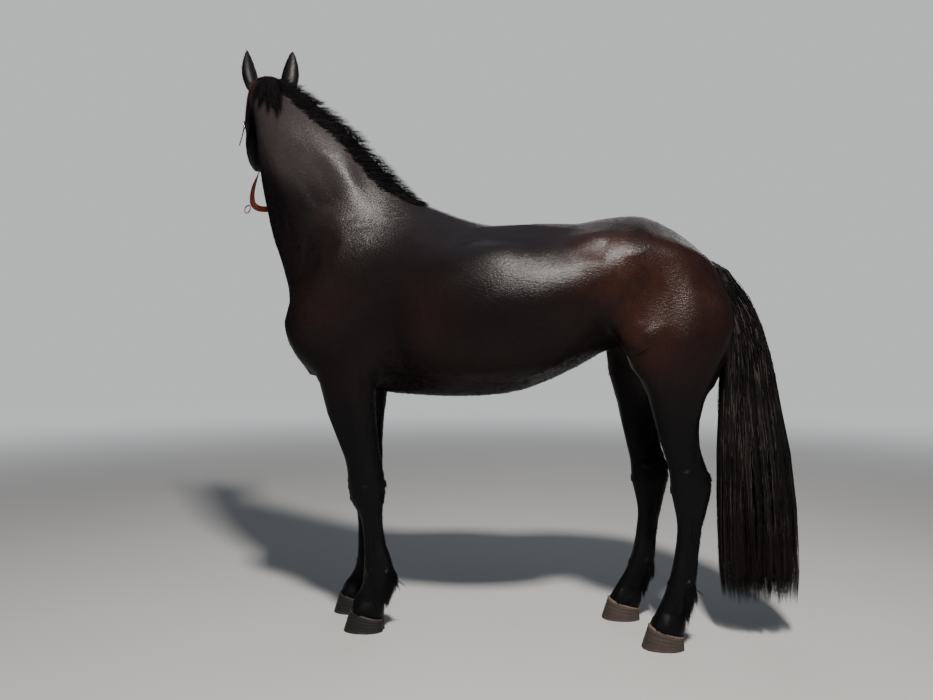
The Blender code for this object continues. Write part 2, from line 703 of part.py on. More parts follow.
def add_ear(name, side, grown):
    """A pricked cup, open forwards and outwards, with its rolled foot in the head."""
    place, turn, spread, forward = EARS[name]
    foot = on_head(*EAR_FOOT, place * side)
    lean = (UPWARD + FACE_LEFT * (spread * side) + HEADING * forward).normalized()
    opening = (HEADING + FACE_LEFT * (turn * side)).normalized()
    opening = (opening - lean * opening.dot(lean)).normalized()
    across = lean.cross(opening)
    rows, columns = 8, 9
    shape = bmesh.new()
    grid = []
    for row in range(rows):
        share = row / (rows - 1)
        radius = max(ear_half_width(share), 0.004)
        wrap = math.radians(152.0 - 62.0 * share)
        inward = -FACE_LEFT * side * (0.004 * share ** 2)
        bow = opening * (0.006 * math.sin(math.pi * share))
        centre = foot + lean * (EAR_HEIGHT * (share * 1.10 - 0.12)) + inward + bow
        line = []
        for column in range(columns):
            angle = wrap * (2.0 * column / (columns - 1) - 1.0)
            offset = -opening * (math.cos(angle) * radius * 0.75) + across * (math.sin(angle) * radius)
            line.append(shape.verts.new(centre + offset))
        grid.append(line)
    for low, high in zip(grid, grid[1:]):
        for column in range(columns - 1):
            shape.faces.new((low[column], low[column + 1], high[column + 1], high[column]))
    ear = new_object("ear_" + name, mesh_from_bmesh(name, shape), COAT)
    wall = ear.modifiers.new("wall", "SOLIDIFY")
    wall.thickness = EAR_WALL
    wall.offset = 0.0
    bake_modifiers(ear)
    return trim(ear, grown)


def copy_of(item):
    return new_object(item.name + "_copy", item.data.copy())


def trim(item, grown):
    """Cut a laid-on piece clear of the body."""
    boolean(item, copy_of(grown))
    return keep_largest(item)


def keep_largest(item):
    """Drop the crumbs that a Boolean may leave beside the main body."""
    name, material = item.name, item.data.materials[0] if item.data.materials else None
    meshes = loose_parts(item)
    kept = new_object(name, meshes[0], material)
    kept.name = name
    return kept


# ----------------------------------------------------------------- hooves
def add_hoof(pair, name, side, leg, material):
    """The horn box under a leg: a flat sole, and a top that slopes down to the heels."""
    front, back, place, half_width = HOOVES[pair]
    stagger = FORE_STAGGER if pair == "fore" else HIND_STAGGER
    shift = between(stagger, HOOF_LEVEL) if side < 0 else 0.0
    middle = Vector((place * side, (front + back) / 2.0 + shift, 0.0))
    half_length = (back - front) / 2.0
    top_front, top_back = middle.y - half_length, middle.y + half_length
    rings = []
    for share in (0.0, 0.25, 1.0):
        spread = HOOF_SPREAD * share
        centre = middle + BACKWARD * ((HOOF_HEEL_SPREAD - spread) * 0.5 * share)
        half = half_length + (spread + HOOF_HEEL_SPREAD * share) * 0.5
        wide = half_width + HOOF_SIDE_SPREAD * share
        points = slab_ring(centre, BACKWARD, SIDEWAYS, half, wide, 20, 0.86)
        for point in points:
            run = min(max((top_back - point.y) / (top_back - top_front), 0.0), 1.0)
            top = HOOF_HEEL_HEIGHT + (HOOF_TOE_HEIGHT - HOOF_HEEL_HEIGHT) * run
            point.z = top * (1.0 - share)
        rings.append(points)
    loft(f"hoof_{pair}_{name}", rings, material)
    slope = (HOOF_TOE_HEIGHT - HOOF_HEEL_HEIGHT) / (top_back - top_front)
    plane_point = Vector((place * side, top_back, HOOF_HEEL_HEIGHT + CLEAR))
    normal = Vector((0.0, slope, 1.0)).normalized()
    shape = bmesh.new()
    shape.from_mesh(leg.data)
    everything = list(shape.verts) + list(shape.edges) + list(shape.faces)
    cut = bmesh.ops.bisect_plane(
        shape, geom=everything, plane_co=plane_point, plane_no=normal, clear_inner=True
    )
    rim = [part for part in cut["geom_cut"] if isinstance(part, bmesh.types.BMEdge)]
    bmesh.ops.contextual_create(shape, geom=rim)
    bmesh.ops.triangulate(shape, faces=shape.faces)
    shape.to_mesh(leg.data)
    shape.free()


# ----------------------------------------------------------------- mane, forelock and tail
def grown_copy(item, amount):
    """A copy of a closed body, swelled outwards, as a cutter."""
    whole = copy_of(item)
    swell = whole.modifiers.new("swell", "DISPLACE")
    swell.strength = amount
    swell.mid_level = 0.0
    return bake_modifiers(whole)


def fused_hair(name, lofts, triangles):
    hair = joined(name, lofts)
    remesh = hair.modifiers.new("remesh", "REMESH")
    remesh.mode = "VOXEL"
    remesh.voxel_size = HAIR_VOXEL
    smooth = hair.modifiers.new("smooth", "SMOOTH")
    smooth.factor = 0.5
    smooth.iterations = 4
    bake_modifiers(hair)
    thinned(hair, triangles)
    hair.data.materials.append(HAIR)
    return hair


def crest_frames():
    """Crest point, directions down the side and to the left, from withers to poll."""
    frames = []
    rows = refined(NECK)
    for index, row in enumerate(rows):
        crest = Vector((row[4], row[0], row[1]))
        throat = Vector((row[5], row[2], row[3]))
        before, after = rows[max(index - 1, 0)], rows[min(index + 1, len(rows) - 1)]
        run = Vector((after[4] - before[4], after[0] - before[0], after[1] - before[1]))
        left = run.cross(throat - crest).normalized()
        frames.append((crest, (throat - crest).normalized(), left, min(row[6], CREST_HALF_WIDTH)))
    return frames[2:]


def add_mane():
    """A ridge of hair on the crest, a fall on the right side and a lock at the poll."""
    ridge, fall = [], []
    frames = crest_frames()
    last = len(frames) - 1
    for index, (crest, down, left, half_width) in enumerate(frames):
        share = index / last
        fade = min(1.0, 4.0 * share, 0.45 + 5.0 * (1.0 - share))
        reach, rise = MANE_NEAR_REACH * fade, MANE_RISE * fade - 0.010 * (1.0 - fade)
        middle = crest + down * ((reach - rise) / 2.0)
        ridge.append(slab_ring(middle, down, left, (reach + rise) / 2.0, half_width + 0.010 * fade, 14))
        middle = crest + down * (MANE_FAR_REACH * fade * 0.5) - left * (half_width + 0.026)
        fall.append(slab_ring(middle, down, left, MANE_FAR_REACH * fade * 0.55, 0.020, 14))
    lock = []
    outward = (SIDEWAYS + UPWARD * 0.5).normalized()
    for place, half_width in POLL_LOCK:
        lock.append(slab_ring(Vector(place), BACKWARD, outward, half_width, LOCK_HALF_DEPTH, 14))
    lofts = [loft("ridge", ridge), loft("fall", fall), loft("lock", lock)]
    return fused_hair("mane", lofts, MANE_TRIANGLES)


def add_forelock():
    rings = []
    for along, up, half_width in (
        (0.030, 0.004, 0.026),
        (0.075, 0.012, 0.036),
        (0.130, 0.016, 0.038),
        (0.190, 0.013, 0.034),
        (0.245, 0.010, 0.020),
    ):
        rings.append(slab_ring(on_head(along, up, 0.006), FACE_LEFT, FACE_UP, half_width, 0.014, 14))
    return loft("forelock", rings, HAIR)


def add_tail():
    rings = []
    for height, front, back, half_width in TAIL:
        middle = Vector((0.0, (front + back) / 2.0, height))
        rings.append(slab_ring(middle, BACKWARD, SIDEWAYS, (back - front) / 2.0, half_width, 16))
    return loft("tail", rings, HAIR)


# ----------------------------------------------------------------- halter
def surface_finder(items):
    """A function that finds the skin outwards from the head's middle line."""
    places, faces = [], []
    for item in items:
        base = len(places)
        places += [vertex.co.copy() for vertex in item.data.vertices]
        faces += [[base + number for number in face.vertices] for face in item.data.polygons]
    tree = BVHTree.FromPolygons(places, faces)

    def find(along, up, angle, height):
        turn = math.radians(angle)
        outward = FACE_LEFT * math.cos(turn) + FACE_UP * math.sin(turn)
        centre = on_head(along, up, 0.0)
        hit = tree.ray_cast(centre + outward * 0.30, -outward)[0]
        return hit + outward * height, outward

    return find


def band(name, stops, width, thickness, material, steps=3):
    """A strap through stops of (place, outward direction), on a smooth curve."""
    rows = refined([(*place, *outward) for place, outward in stops], steps)
    places = [Vector(row[:3]) for row in rows]
    rings = []
    for index, row in enumerate(rows):
        run = (places[min(index + 1, len(rows) - 1)] - places[max(index - 1, 0)]).normalized()
        outward = Vector(row[3:])
        outward = (outward - run * outward.dot(run)).normalized()
        across = run.cross(outward)
        half_width, half_thick = across * width / 2.0, outward * thickness / 2.0
        centre = places[index]
        rings.append([
            centre - half_width - half_thick,
            centre + half_width - half_thick,
            centre + half_width + half_thick,
            centre - half_width + half_thick,
        ])
    return loft(name, rings, material)


def round_ring(name, centre, normal, radius, wire, material):
    """A wire ring, its axis along the normal."""
    bpy.ops.mesh.primitive_torus_add(
        major_radius=radius, minor_radius=wire, major_segments=12, minor_segments=5
    )
    made = bpy.context.object
    mesh = made.data.copy()
    bpy.data.objects.remove(made)
    turn = normal.to_track_quat("Z", "Y").to_matrix().to_4x4()
    mesh.transform(Matrix.Translation(centre) @ turn)
    return new_object(name, mesh, material)


def clear_of(stops, centres, gap):
    """Stops of a strap with those too near a ring moved out to its rim."""
    kept = [stop for stop in stops if min((stop[0] - spot).length for spot in centres) > gap]
    for spot, index, follower in ((centres[0], 0, 1), (centres[1], -1, -2)):
        place, outward = kept[index]
        reach = (place - spot).length
        end = spot + (place - spot) * (gap / reach)
        if reach > 1.3 * gap:
            kept.insert(0 if index == 0 else len(kept), (end, outward))
        else:
            kept[index] = (end, outward)
    return kept


def add_halter(head, neck, grown):
    find = surface_finder([head, neck])
    spots = []
    for name, side in SIDES.items():
        place, outward = find(*RING_PLACE, 0.0 if side > 0 else 180.0, STRAP_HEIGHT + 0.004)
        spots.append(place)
        round_ring("halter_ring_" + name, place, outward, RING_RADIUS, RING_WIRE, METAL)
    gap = RING_RADIUS + RING_WIRE + CLEAR

    over_nose = []
    for angle in (8, 18, 32, 50, 70, 90, 110, 130, 148, 162, 172):
        over_nose.append(find(RING_PLACE[0] - 0.002, RING_PLACE[1] + 0.018, angle, STRAP_HEIGHT))
    over_nose = clear_of(over_nose, spots, gap + STRAP_THICKNESS)
    trim(band("halter_noseband", over_nose, STRAP_WIDTH, STRAP_THICKNESS, LEATHER, 1), grown)

    cheek = refined(CHEEK_LINE, 2)
    stops = [find(along, up, angle, STRAP_HEIGHT) for along, up, angle in cheek]
    stops.append(find(*CROWN_TOP, 90.0, STRAP_HEIGHT))
    stops += [find(along, up, 180.0 - angle, STRAP_HEIGHT) for along, up, angle in reversed(cheek)]
    stops = clear_of(stops, spots, gap + STRAP_THICKNESS)
    crown = trim(band("halter_crown", stops, STRAP_WIDTH, STRAP_THICKNESS, LEATHER, 1), grown)

    height = STRAP_HEIGHT + STRAP_THICKNESS + RING_WIRE
    place, outward = find(*BUCKLE_PLACE, 0.0, height)
    round_ring("halter_buckle", place, outward, BUCKLE_RADIUS, BUCKLE_WIRE, METAL)
    tip = [
        find(0.178, -0.103, 0.0, STRAP_HEIGHT + 0.0065 + STRAP_THICKNESS),
        (on_head(0.210, -0.118, 0.124), FACE_LEFT),
        (on_head(0.240, -0.132, 0.136), FACE_LEFT),
    ]
    band("halter_strap_end", tip, STRAP_END_WIDTH, STRAP_THICKNESS, LEATHER, 3)
    add_chin_strap(spots, gap + 0.004)
    return crown


def add_chin_strap(spots, gap):
    """The loose strap under the chin, from cheek ring to cheek ring, with its own ring."""
    left, right = spots
    centre = (left + right) / 2.0
    start = left + (CHIN_PATH[0] - left).normalized() * gap
    end = right + (CHIN_PATH[-1] - right).normalized() * gap
    stops = []
    for place, twist in zip((start, *CHIN_PATH, end), CHIN_TWIST):
        away = place - centre
        away = (away - FACE_ALONG * away.dot(FACE_ALONG)).normalized()
        stops.append((place, away.lerp(TWIST_TOWARDS, twist).normalized()))
    band("halter_chin_strap", stops, CHIN_STRAP_WIDTH, STRAP_THICKNESS, BRIGHT_LEATHER, 2)
    out = (CHIN_RING - centre).normalized()
    spot = CHIN_RING + out * (RING_RADIUS + RING_WIRE + CHIN_RING_GAP)
    axis = FACE_ALONG.cross(out).normalized()
    round_ring("halter_chin_ring", spot, axis, RING_RADIUS, RING_WIRE, METAL)


# ----------------------------------------------------------------- the whole model
def centre_on_floor():
    """Move every node so the origin is on the floor, under the middle of the whole."""
    places = [vertex.co for item in GROUP.objects for vertex in item.data.vertices]
    middle = Vector()
    for axis in (0, 1):
        values = [place[axis] for place in places]
        middle[axis] = (min(values) + max(values)) / 2.0
    for item in GROUP.objects:
        item.data.transform(Matrix.Translation(-middle))


def build():
    body = thin_body(fused_body())
    grown = grown_copy(body, CLEAR)
    nodes = part_body(body)
    add_eyes(nodes["head"])
    ears = [add_ear(name, side, grown) for name, side in SIDES.items()]
    for name, side in SIDES.items():
        add_hoof("fore", name, side, nodes["foreleg_" + name], HORN)
        add_hoof("hind", name, side, nodes["hindleg_" + name], HORN_PALE)
    crown = add_halter(nodes["head"], nodes["neck"], grown)
    for ear in ears:
        boolean(ear, grown_copy(crown, CLEAR))
        keep_largest(ear)
    for hair in (add_mane(), add_forelock(), add_tail()):
        boolean(hair, grown_copy(crown, STRAP_CLEAR))
        trim(hair, grown)
    remove(grown)
    centre_on_floor()


build()
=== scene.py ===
"""Looks for a still, life-size dark horse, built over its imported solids.

One skin is grown over the flesh, sculpted with muscle, vein and fold lines, and dressed with
long hair, short tufts, horn, eyes and a leather head halter. Lengths are metres.
"""

import math

import bmesh
import bpy
import numpy as np
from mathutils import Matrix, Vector
from mathutils.bvhtree import BVHTree
from mathutils.kdtree import KDTree


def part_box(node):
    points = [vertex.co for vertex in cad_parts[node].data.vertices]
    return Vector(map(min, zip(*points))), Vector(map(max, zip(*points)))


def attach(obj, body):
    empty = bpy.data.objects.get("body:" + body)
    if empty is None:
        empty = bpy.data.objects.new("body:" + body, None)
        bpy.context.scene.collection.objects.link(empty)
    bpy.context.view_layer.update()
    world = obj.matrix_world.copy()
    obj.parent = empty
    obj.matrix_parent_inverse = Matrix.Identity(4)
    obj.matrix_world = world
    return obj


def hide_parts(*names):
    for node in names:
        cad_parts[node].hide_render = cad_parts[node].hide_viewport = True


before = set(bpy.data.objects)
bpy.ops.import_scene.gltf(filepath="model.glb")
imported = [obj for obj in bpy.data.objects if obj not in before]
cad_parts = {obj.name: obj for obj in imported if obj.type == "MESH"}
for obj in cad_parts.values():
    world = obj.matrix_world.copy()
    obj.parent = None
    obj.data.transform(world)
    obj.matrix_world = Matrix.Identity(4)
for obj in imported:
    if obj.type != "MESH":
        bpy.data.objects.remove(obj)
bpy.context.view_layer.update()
RANDOM = np.random.default_rng(11)
SIDES = {"left": 1.0, "right": -1.0}

# ----------------------------------------------------------------- places and sizes
TRUNK_LOW, TRUNK_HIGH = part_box("trunk")
HEEL_LINE = 0.672               # rear of the left hind hoof, from the horse's own origin
ORIGIN = np.array([(TRUNK_LOW.x + TRUNK_HIGH.x) / 2.0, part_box("hoof_hind_left")[1].y - HEEL_LINE, 0.0])
POLL = np.array([-0.19, -0.969, 2.176])
HEAD_YAW = math.radians(76.0)
HEAD_DIP = math.radians(40.0)
HEADING = np.array([-math.sin(HEAD_YAW), -math.cos(HEAD_YAW), 0.0])
UPWARD = np.array([0.0, 0.0, 1.0])
ALONG = HEADING * math.cos(HEAD_DIP) - UPWARD * math.sin(HEAD_DIP)
ABOVE = HEADING * math.sin(HEAD_DIP) + UPWARD * math.cos(HEAD_DIP)
LEFT = np.array([-HEADING[1], HEADING[0], 0.0])
HEAD_AXES = np.array([ALONG, ABOVE, LEFT])
EYE_RADIUS = 0.0235
EYE_PLACE = (0.222, -0.054, 0.0775)
HEAD_REACH = 0.75
NOSTRIL_PLACE = (0.566, -0.048)
COAT_DEPTH = 0.0018             # the skin lies this far inside the solids
MERGE_REACH = 1e-5              # corners nearer than this are one
SKIN_VOXEL = 0.003
SKIN_TRIANGLES = 192000
FLESH = (
    "head", "neck", "trunk", "hindquarters",
    "foreleg_left", "foreleg_right", "hindleg_left", "hindleg_right",
)
# The right legs stand further forward than the left ones: height, shift.
STAGGER = {
    "fore": ((0.0, 0.2, 0.5, 1.05), (-0.105, -0.082, -0.072, 0.0)),
    "hind": ((0.0, 0.2, 0.6, 0.95, 1.25), (-0.128, -0.112, -0.112, -0.085, 0.0)),
}


def horse(x, y, z):
    """A point given from the horse's own origin, between its feet."""
    return ORIGIN + (x, y, z)


def on_head(along, above, left):
    """A point of the head: along the face, above the face line, to the left."""
    return ORIGIN + POLL + ALONG * along + ABOVE * above + LEFT * left


def eye_centre(side):
    return on_head(EYE_PLACE[0], EYE_PLACE[1], EYE_PLACE[2] * side)


def head_places(points):
    """Points given along, above and left of the head."""
    return (points - ORIGIN - POLL) @ HEAD_AXES.T


def from_eye(head, side):
    """How far points, given along, above and left of the head, are from an eye."""
    return np.linalg.norm(head - (EYE_PLACE[0], EYE_PLACE[1], EYE_PLACE[2] * side), axis=1)


def near_head(head):
    """Which points, given along, above and left of the head, are within its reach."""
    return np.linalg.norm(head, axis=1) < HEAD_REACH


def unit(vectors):
    size = np.linalg.norm(vectors, axis=-1, keepdims=True)
    return vectors / np.maximum(size, 1e-12)


def soft(low, high, value):
    """A smooth step from nought at low to one at high."""
    share = np.clip((np.asarray(value, float) - low) / (high - low), 0.0, 1.0)
    return share * share * (3.0 - 2.0 * share)


def curve(points, count):
    """A smooth run of points through a few given ones."""
    rows = np.asarray(points, float)
    rows = np.vstack([2 * rows[0] - rows[1], rows, 2 * rows[-1] - rows[-2]])
    place = np.linspace(0.0, len(rows) - 3 - 1e-9, count)
    start = place.astype(int)
    t = (place - start)[:, None]
    a, b, c, d = (rows[start + k] for k in range(4))
    return b + 0.5 * t * (c - a + t * (2 * a - 5 * b + 4 * c - d + t * (3 * b - a - 3 * c + d)))


# ----------------------------------------------------------------- mesh helpers
def values_of(items, key, width=3, kind=np.float32):
    """One property of all the items of a mesh, as rows of numbers."""
    values = np.empty(len(items) * width, kind)
    items.foreach_get(key, values)
    return values.reshape(-1, width)


def mesh_arrays(mesh):
    """Corner places and triangles of a mesh."""
    mesh.calc_loop_triangles()
    faces = values_of(mesh.loop_triangles, "vertices", 3, np.int32)
    return values_of(mesh.vertices, "co").astype(float), faces


def mesh_from(name, points, faces):
    """A mesh from arrays of triangles or of quads."""
    faces = np.ascontiguousarray(faces, np.int32)
    sides = faces.shape[1]
    mesh = bpy.data.meshes.new(name)
    mesh.vertices.add(len(points))
    mesh.vertices.foreach_set("co", np.ascontiguousarray(points, np.float32).ravel())
    mesh.loops.add(faces.size)
    mesh.loops.foreach_set("vertex_index", faces.ravel())
    mesh.polygons.add(len(faces))
    mesh.polygons.foreach_set("loop_start", np.arange(0, faces.size, sides, dtype=np.int32))
    mesh.polygons.foreach_set("use_smooth", np.ones(len(faces), bool))
    mesh.update(calc_edges=True)
    return mesh


def joined(shapes):
    """The corner places and triangles of several shapes as those of one."""
    counts = [len(points) for points, _ in shapes]
    starts = np.cumsum([0] + counts[:-1])
    faces = [corners + start for (_, corners), start in zip(shapes, starts)]
    return np.vstack([points for points, _ in shapes]), np.vstack(faces)


def merged(mesh):
    """A copy of a mesh whose corners at one place are made one."""
    shape = bmesh.new()
    shape.from_mesh(mesh)
    bmesh.ops.remove_doubles(shape, verts=shape.verts, dist=MERGE_REACH)
    copy = bpy.data.meshes.new("copy")
    shape.to_mesh(copy)
    shape.free()
    return copy


def split_quads(quads):
    return np.vstack([quads[:, [0, 1, 2]], quads[:, [0, 2, 3]]])


def edges_of(faces):
    return np.vstack([faces[:, [0, 1]], faces[:, [1, 2]], faces[:, [2, 0]]])


def tube_quads(rows, count, closed=False):
    """Quads from each ring of corners to the next, and from the last to the first if closed."""
    grid = np.arange(rows * count).reshape(rows, count)
    if closed:
        grid = np.vstack([grid, grid[:1]])
    after = np.roll(grid, -1, axis=1)
    return np.stack([grid[:-1], after[:-1], after[1:], grid[1:]], axis=-1).reshape(-1, 4)


def facing_out(points, faces):
    """Turn the faces round if the closed shape is inside out."""
    a, b, c = (points[faces[:, k]] for k in range(3))
    volume = (np.cross(a, b) * c).sum()
    return faces if volume > 0 else faces[:, ::-1]


def nearest(tree, points):
    """The nearest places on a surface, and the directions away from it there."""
    found = [tree.find_nearest(Vector(point)) for point in points]
    return np.array([spot for spot, _, _, _ in found]), np.array([normal for _, normal, _, _ in found])


def shown(name, data):
    """An object in the scene that shows the data."""
    item = bpy.data.objects.new(name, data)
    bpy.context.scene.collection.objects.link(item)
    return item


def piece(name, mesh, material=None, slot=None, replaces=()):
    """A shown object that rides on the body."""
    item = shown(name, mesh)
    if material is not None:
        mesh.materials.clear()
        mesh.materials.append(material)
    if slot is not None:
        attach(item, "root")
    if replaces:
        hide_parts(*replaces)
    return item


def modified(item, kind, **settings):
    """Apply one modifier to an object's mesh."""
    step = item.modifiers.new(kind, kind)
    for key, value in settings.items():
        setattr(step, key, value)
    graph = bpy.context.evaluated_depsgraph_get()
    mesh = bpy.data.meshes.new_from_object(item.evaluated_get(graph))
    item.modifiers.clear()
    item.data = mesh
    return item


def vertex_normals(mesh):
    return values_of(mesh.vertex_normals, "vector").astype(float)


def store(mesh, name, values):
    """A number per vertex, for the materials to read."""
    made = mesh.attributes.new(name, "FLOAT", "POINT")
    made.data.foreach_set("value", np.ascontiguousarray(values, np.float32))


# ----------------------------------------------------------------- the flesh as one surface
def flesh_nodes():
    """The flesh nodes as one list of triangles, with each corner's node."""
    shapes = [mesh_arrays(merged(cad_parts[name].data)) for name in FLESH]
    owners = np.repeat(np.arange(len(FLESH)), [len(points) for points, _ in shapes])
    return *joined(shapes), owners


def near_pairs(points, chosen, owners, reach):
    """Pairs of chosen points of different nodes that lie within reach of each other."""
    tree = KDTree(len(chosen))
    for index in chosen:
        tree.insert(points[index], int(index))
    tree.balance()
    pairs = []
    for index in chosen:
        for _, other, _ in tree.find_range(points[index], reach):
            if owners[other] != owners[index]:
                pairs.append((int(index), other))
    return pairs


def healed(points, faces, owners):
    """Drop the faces of the thin cuts between nodes and join their rims again."""
    meeting = {}
    for first, second in near_pairs(points, np.arange(len(points)), owners, 0.0007):
        meeting.setdefault((owners[first], owners[second]), []).append(first)
    corners = points[faces]
    normals = unit(np.cross(corners[:, 1] - corners[:, 0], corners[:, 2] - corners[:, 0]))
    kept = np.ones(len(faces), bool)
    for (own, _), members in meeting.items():
        rim = points[members]
        middle = rim.mean(0)
        across = np.linalg.svd(rim - middle)[2][2]
        near = (np.abs((points - middle) @ across) < 0.0006) & (owners == own)
        near &= ((points > rim.min(0) - 0.02) & (points < rim.max(0) + 0.02)).all(1)
        kept &= ~(near[faces].all(1) & (np.abs(normals @ across) > 0.9))
    faces = faces[kept]
    edges, counts = np.unique(np.sort(edges_of(faces), axis=1), axis=0, return_counts=True)
    goes = np.arange(len(points))
    for first, second in near_pairs(points, np.unique(edges[counts == 1]), owners, 0.006):
        if owners[second] < owners[first] and goes[first] == first:
            goes[first] = second
    faces = goes[goes[faces]]
    return points, faces[(faces != np.roll(faces, 1, axis=1)).all(1)]


def rounded(points, faces, cuts, fullness=0.75):
    """Split each facet finely and lift it towards the planes of its corners' normals."""
    mesh = mesh_from("facets", points, faces)
    normals = vertex_normals(mesh)
    shares, index = [], {}
    for i in range(cuts + 1):
        for j in range(cuts + 1 - i):
            index[i, j] = len(shares)
            shares.append((i / cuts, j / cuts, 1.0 - (i + j) / cuts))
    shares = np.array(shares)
    corners, facing = points[faces], normals[faces]
    flat = np.einsum("kb,mbc->mkc", shares, corners)
    lift = np.zeros_like(flat)
    for k in range(3):
        off = ((flat - corners[:, None, k]) * facing[:, None, k]).sum(2)
        lift -= (off * shares[None, :, k])[:, :, None] * facing[:, None, k]
    small = []
    for i in range(cuts):
        for j in range(cuts - i):
            small.append((index[i, j], index[i + 1, j], index[i, j + 1]))
            if j < cuts - i - 1:
                small.append((index[i + 1, j], index[i + 1, j + 1], index[i, j + 1]))
    start = (np.arange(len(faces)) * len(shares))[:, None, None]
    return (flat + fullness * lift).reshape(-1, 3), (np.array(small)[None] + start).reshape(-1, 3)


def ball(centre, radii, axes=None):
    """Corner places and triangles of a stretched sphere."""
    shape = bmesh.new()
    bmesh.ops.create_icosphere(shape, subdivisions=4, radius=1.0)
    points = np.array([vert.co for vert in shape.verts]) * radii
    faces = np.array([[vert.index for vert in face.verts] for face in shape.faces])
    shape.free()
    if axes is not None:
        points = points @ axes
    return points + centre, faces


def coronet_plugs():
    """Flesh that reaches down into each hoof, so no gap shows at the coronet."""
    plugs = []
    for name in ("fore_left", "fore_right", "hind_left", "hind_right"):
        low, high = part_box("hoof_" + name)
        middle = np.array([(low.x + high.x) / 2.0, low.y + 0.6 * (high.y - low.y), 0.062])
        plugs.append(ball(middle, (0.045, 0.056, 0.018), slope_axes(-0.29)))
    return plugs


def slope_axes(pitch):
    """Axes tipped about the sideways axis."""
    cos, sin = math.cos(pitch), math.sin(pitch)
    return np.array([[1.0, 0.0, 0.0], [0.0, cos, sin], [0.0, -sin, cos]])


def ear_mounds():
    mounds = []
    for side in SIDES.values():
        place = on_head(EAR_PLACE[0] + 0.004, EAR_PLACE[1] - 0.016, EAR_SET[side][0] * side * 0.98)
        mounds.append(ball(place, (0.03, 0.026, 0.021), HEAD_AXES))
    return mounds


def base_surface():
    """The whole body's surface as an object, before any sculpting."""
    points, faces = rounded(*healed(*flesh_nodes()), 6)
    solids = [(points, faces)] + coronet_plugs() + ear_mounds()
    for side in SIDES.values():
        solids.append(ball(eye_centre(side), (EYE_RADIUS + 0.002,) * 3))
        solids.append(ear_shell(side, 0.0075))
    item = piece("flesh", merged(mesh_from("flesh", *joined(solids))))
    modified(item, "REMESH", mode="VOXEL", voxel_size=SKIN_VOXEL)
    eyes = [eye_centre(side) for side in SIDES.values()]
    nostrils = [on_head(*NOSTRIL_PLACE, 0.045 * side) for side in SIDES.values()]
    modified(item, "SMOOTH", factor=0.5, iterations=6)
    split_near(item, [(spot, 0.042) for spot in eyes] + [(spot, 0.036) for spot in nostrils])
    modified(item, "SMOOTH", factor=0.5, iterations=4)
    split_near(item, [(spot, 0.03) for spot in eyes])
    return item


def split_near(item, spots):
    """Halve the edges of the faces near each spot, given as a centre and a reach."""
    mesh = item.data
    middles = values_of(mesh.polygons, "center")
    chosen = np.zeros(len(middles), bool)
    for centre, reach in spots:
        chosen |= np.linalg.norm(middles - centre, axis=1) < reach
    shape = bmesh.new()
    shape.from_mesh(mesh)
    shape.faces.ensure_lookup_table()
    faces = [shape.faces[index] for index in np.nonzero(chosen)[0]]
    edges = list({edge for face in faces for edge in face.edges})
    bmesh.ops.subdivide_edges(shape, edges=edges, cuts=1, use_grid_fill=True)
    shape.to_mesh(mesh)
    shape.free()


# ----------------------------------------------------------------- working the surface
class Surface:
    """The dense skin while it is worked, with how far each place is to rise."""

    def __init__(self, item):
        self.item = item
        self.points, self.faces = mesh_arrays(item.data)
        self.normals = vertex_normals(item.data)
        self.rise = np.zeros(len(self.points))
        self.tree = BVHTree.FromObject(item, bpy.context.evaluated_depsgraph_get())

    def settle(self, route):
        """The points of a route moved onto the surface."""
        return nearest(self.tree, route)[0]

    def stroke(self, route, width, height, fading=0.22):
        """Raise the surface along a route, or sink it where the height is below nought."""
        stops = self.settle(route)
        length = np.linalg.norm(np.diff(stops, axis=0), axis=1).sum()
        spots = curve(stops, max(int(length / (0.4 * width)), 8))
        reach = 2.6 * width
        near = ((self.points > spots.min(0) - reach) & (self.points < spots.max(0) + reach)).all(1)
        chosen = np.nonzero(near)[0]
        best, share = np.full(len(chosen), np.inf), np.zeros(len(chosen))
        for number, (spot, run) in enumerate(zip(spots, np.diff(spots, axis=0))):
            away = self.points[chosen] - spot
            along = np.clip(away @ run / max(run @ run, 1e-12), 0.0, 1.0)
            gap = ((away - along[:, None] * run) ** 2).sum(1)
            closer = gap < best
            best[closer] = gap[closer]
            share[closer] = (number + along[closer]) / (len(spots) - 1)
        if fading:
            height = height * soft(0.0, fading, share) * soft(0.0, fading, 1.0 - share)
        self.rise[chosen] += height * np.exp(-best / width ** 2)

    def relax(self, centre, reach, rounds):
        """Even out the surface near a place, less and less towards the reach."""
        away = np.linalg.norm(self.points - centre, axis=1)
        runs = edges_of(self.faces)
        runs = runs[(away[runs] < reach).any(1)]
        chosen, runs = np.unique(runs, return_inverse=True)
        runs = runs.reshape(-1, 2)
        places = self.points[chosen]
        share = 0.5 * soft(reach, 0.6 * reach, away[chosen])[:, None]
        around = np.maximum(np.bincount(runs[:, 0], minlength=len(chosen)), 1)[:, None]
        for _ in range(rounds):
            middle = np.column_stack([
                np.bincount(runs[:, 0], column[runs[:, 1]], len(chosen)) for column in places.T
            ]) / around
            places = places + (middle - places) * share
        self.points[chosen] = places

    def apply(self):
        self.points = self.points + self.normals * self.rise[:, None]
        self.rise[:] = 0.0
        self.item.data = mesh_from("flesh", self.points, self.faces)
        self.normals = vertex_normals(self.item.data)


def stagger_of(leg, side, height):
    if side > 0 or leg is None:
        return 0.0
    return np.interp(height, *STAGGER[leg])


def paired(route, leg=None):
    """A route on the left side and its match on the right, from the horse's own places."""
    for side in SIDES.values():
        yield np.array([horse(x * side, y + stagger_of(leg, side, z), z) for x, y, z in route])


def neck_rows(rows):
    """The neck's table read at one row or at many, between its lines too."""
    table = np.array(NECK)
    return np.array([np.interp(rows, np.arange(len(table)), column) for column in table.T]).T


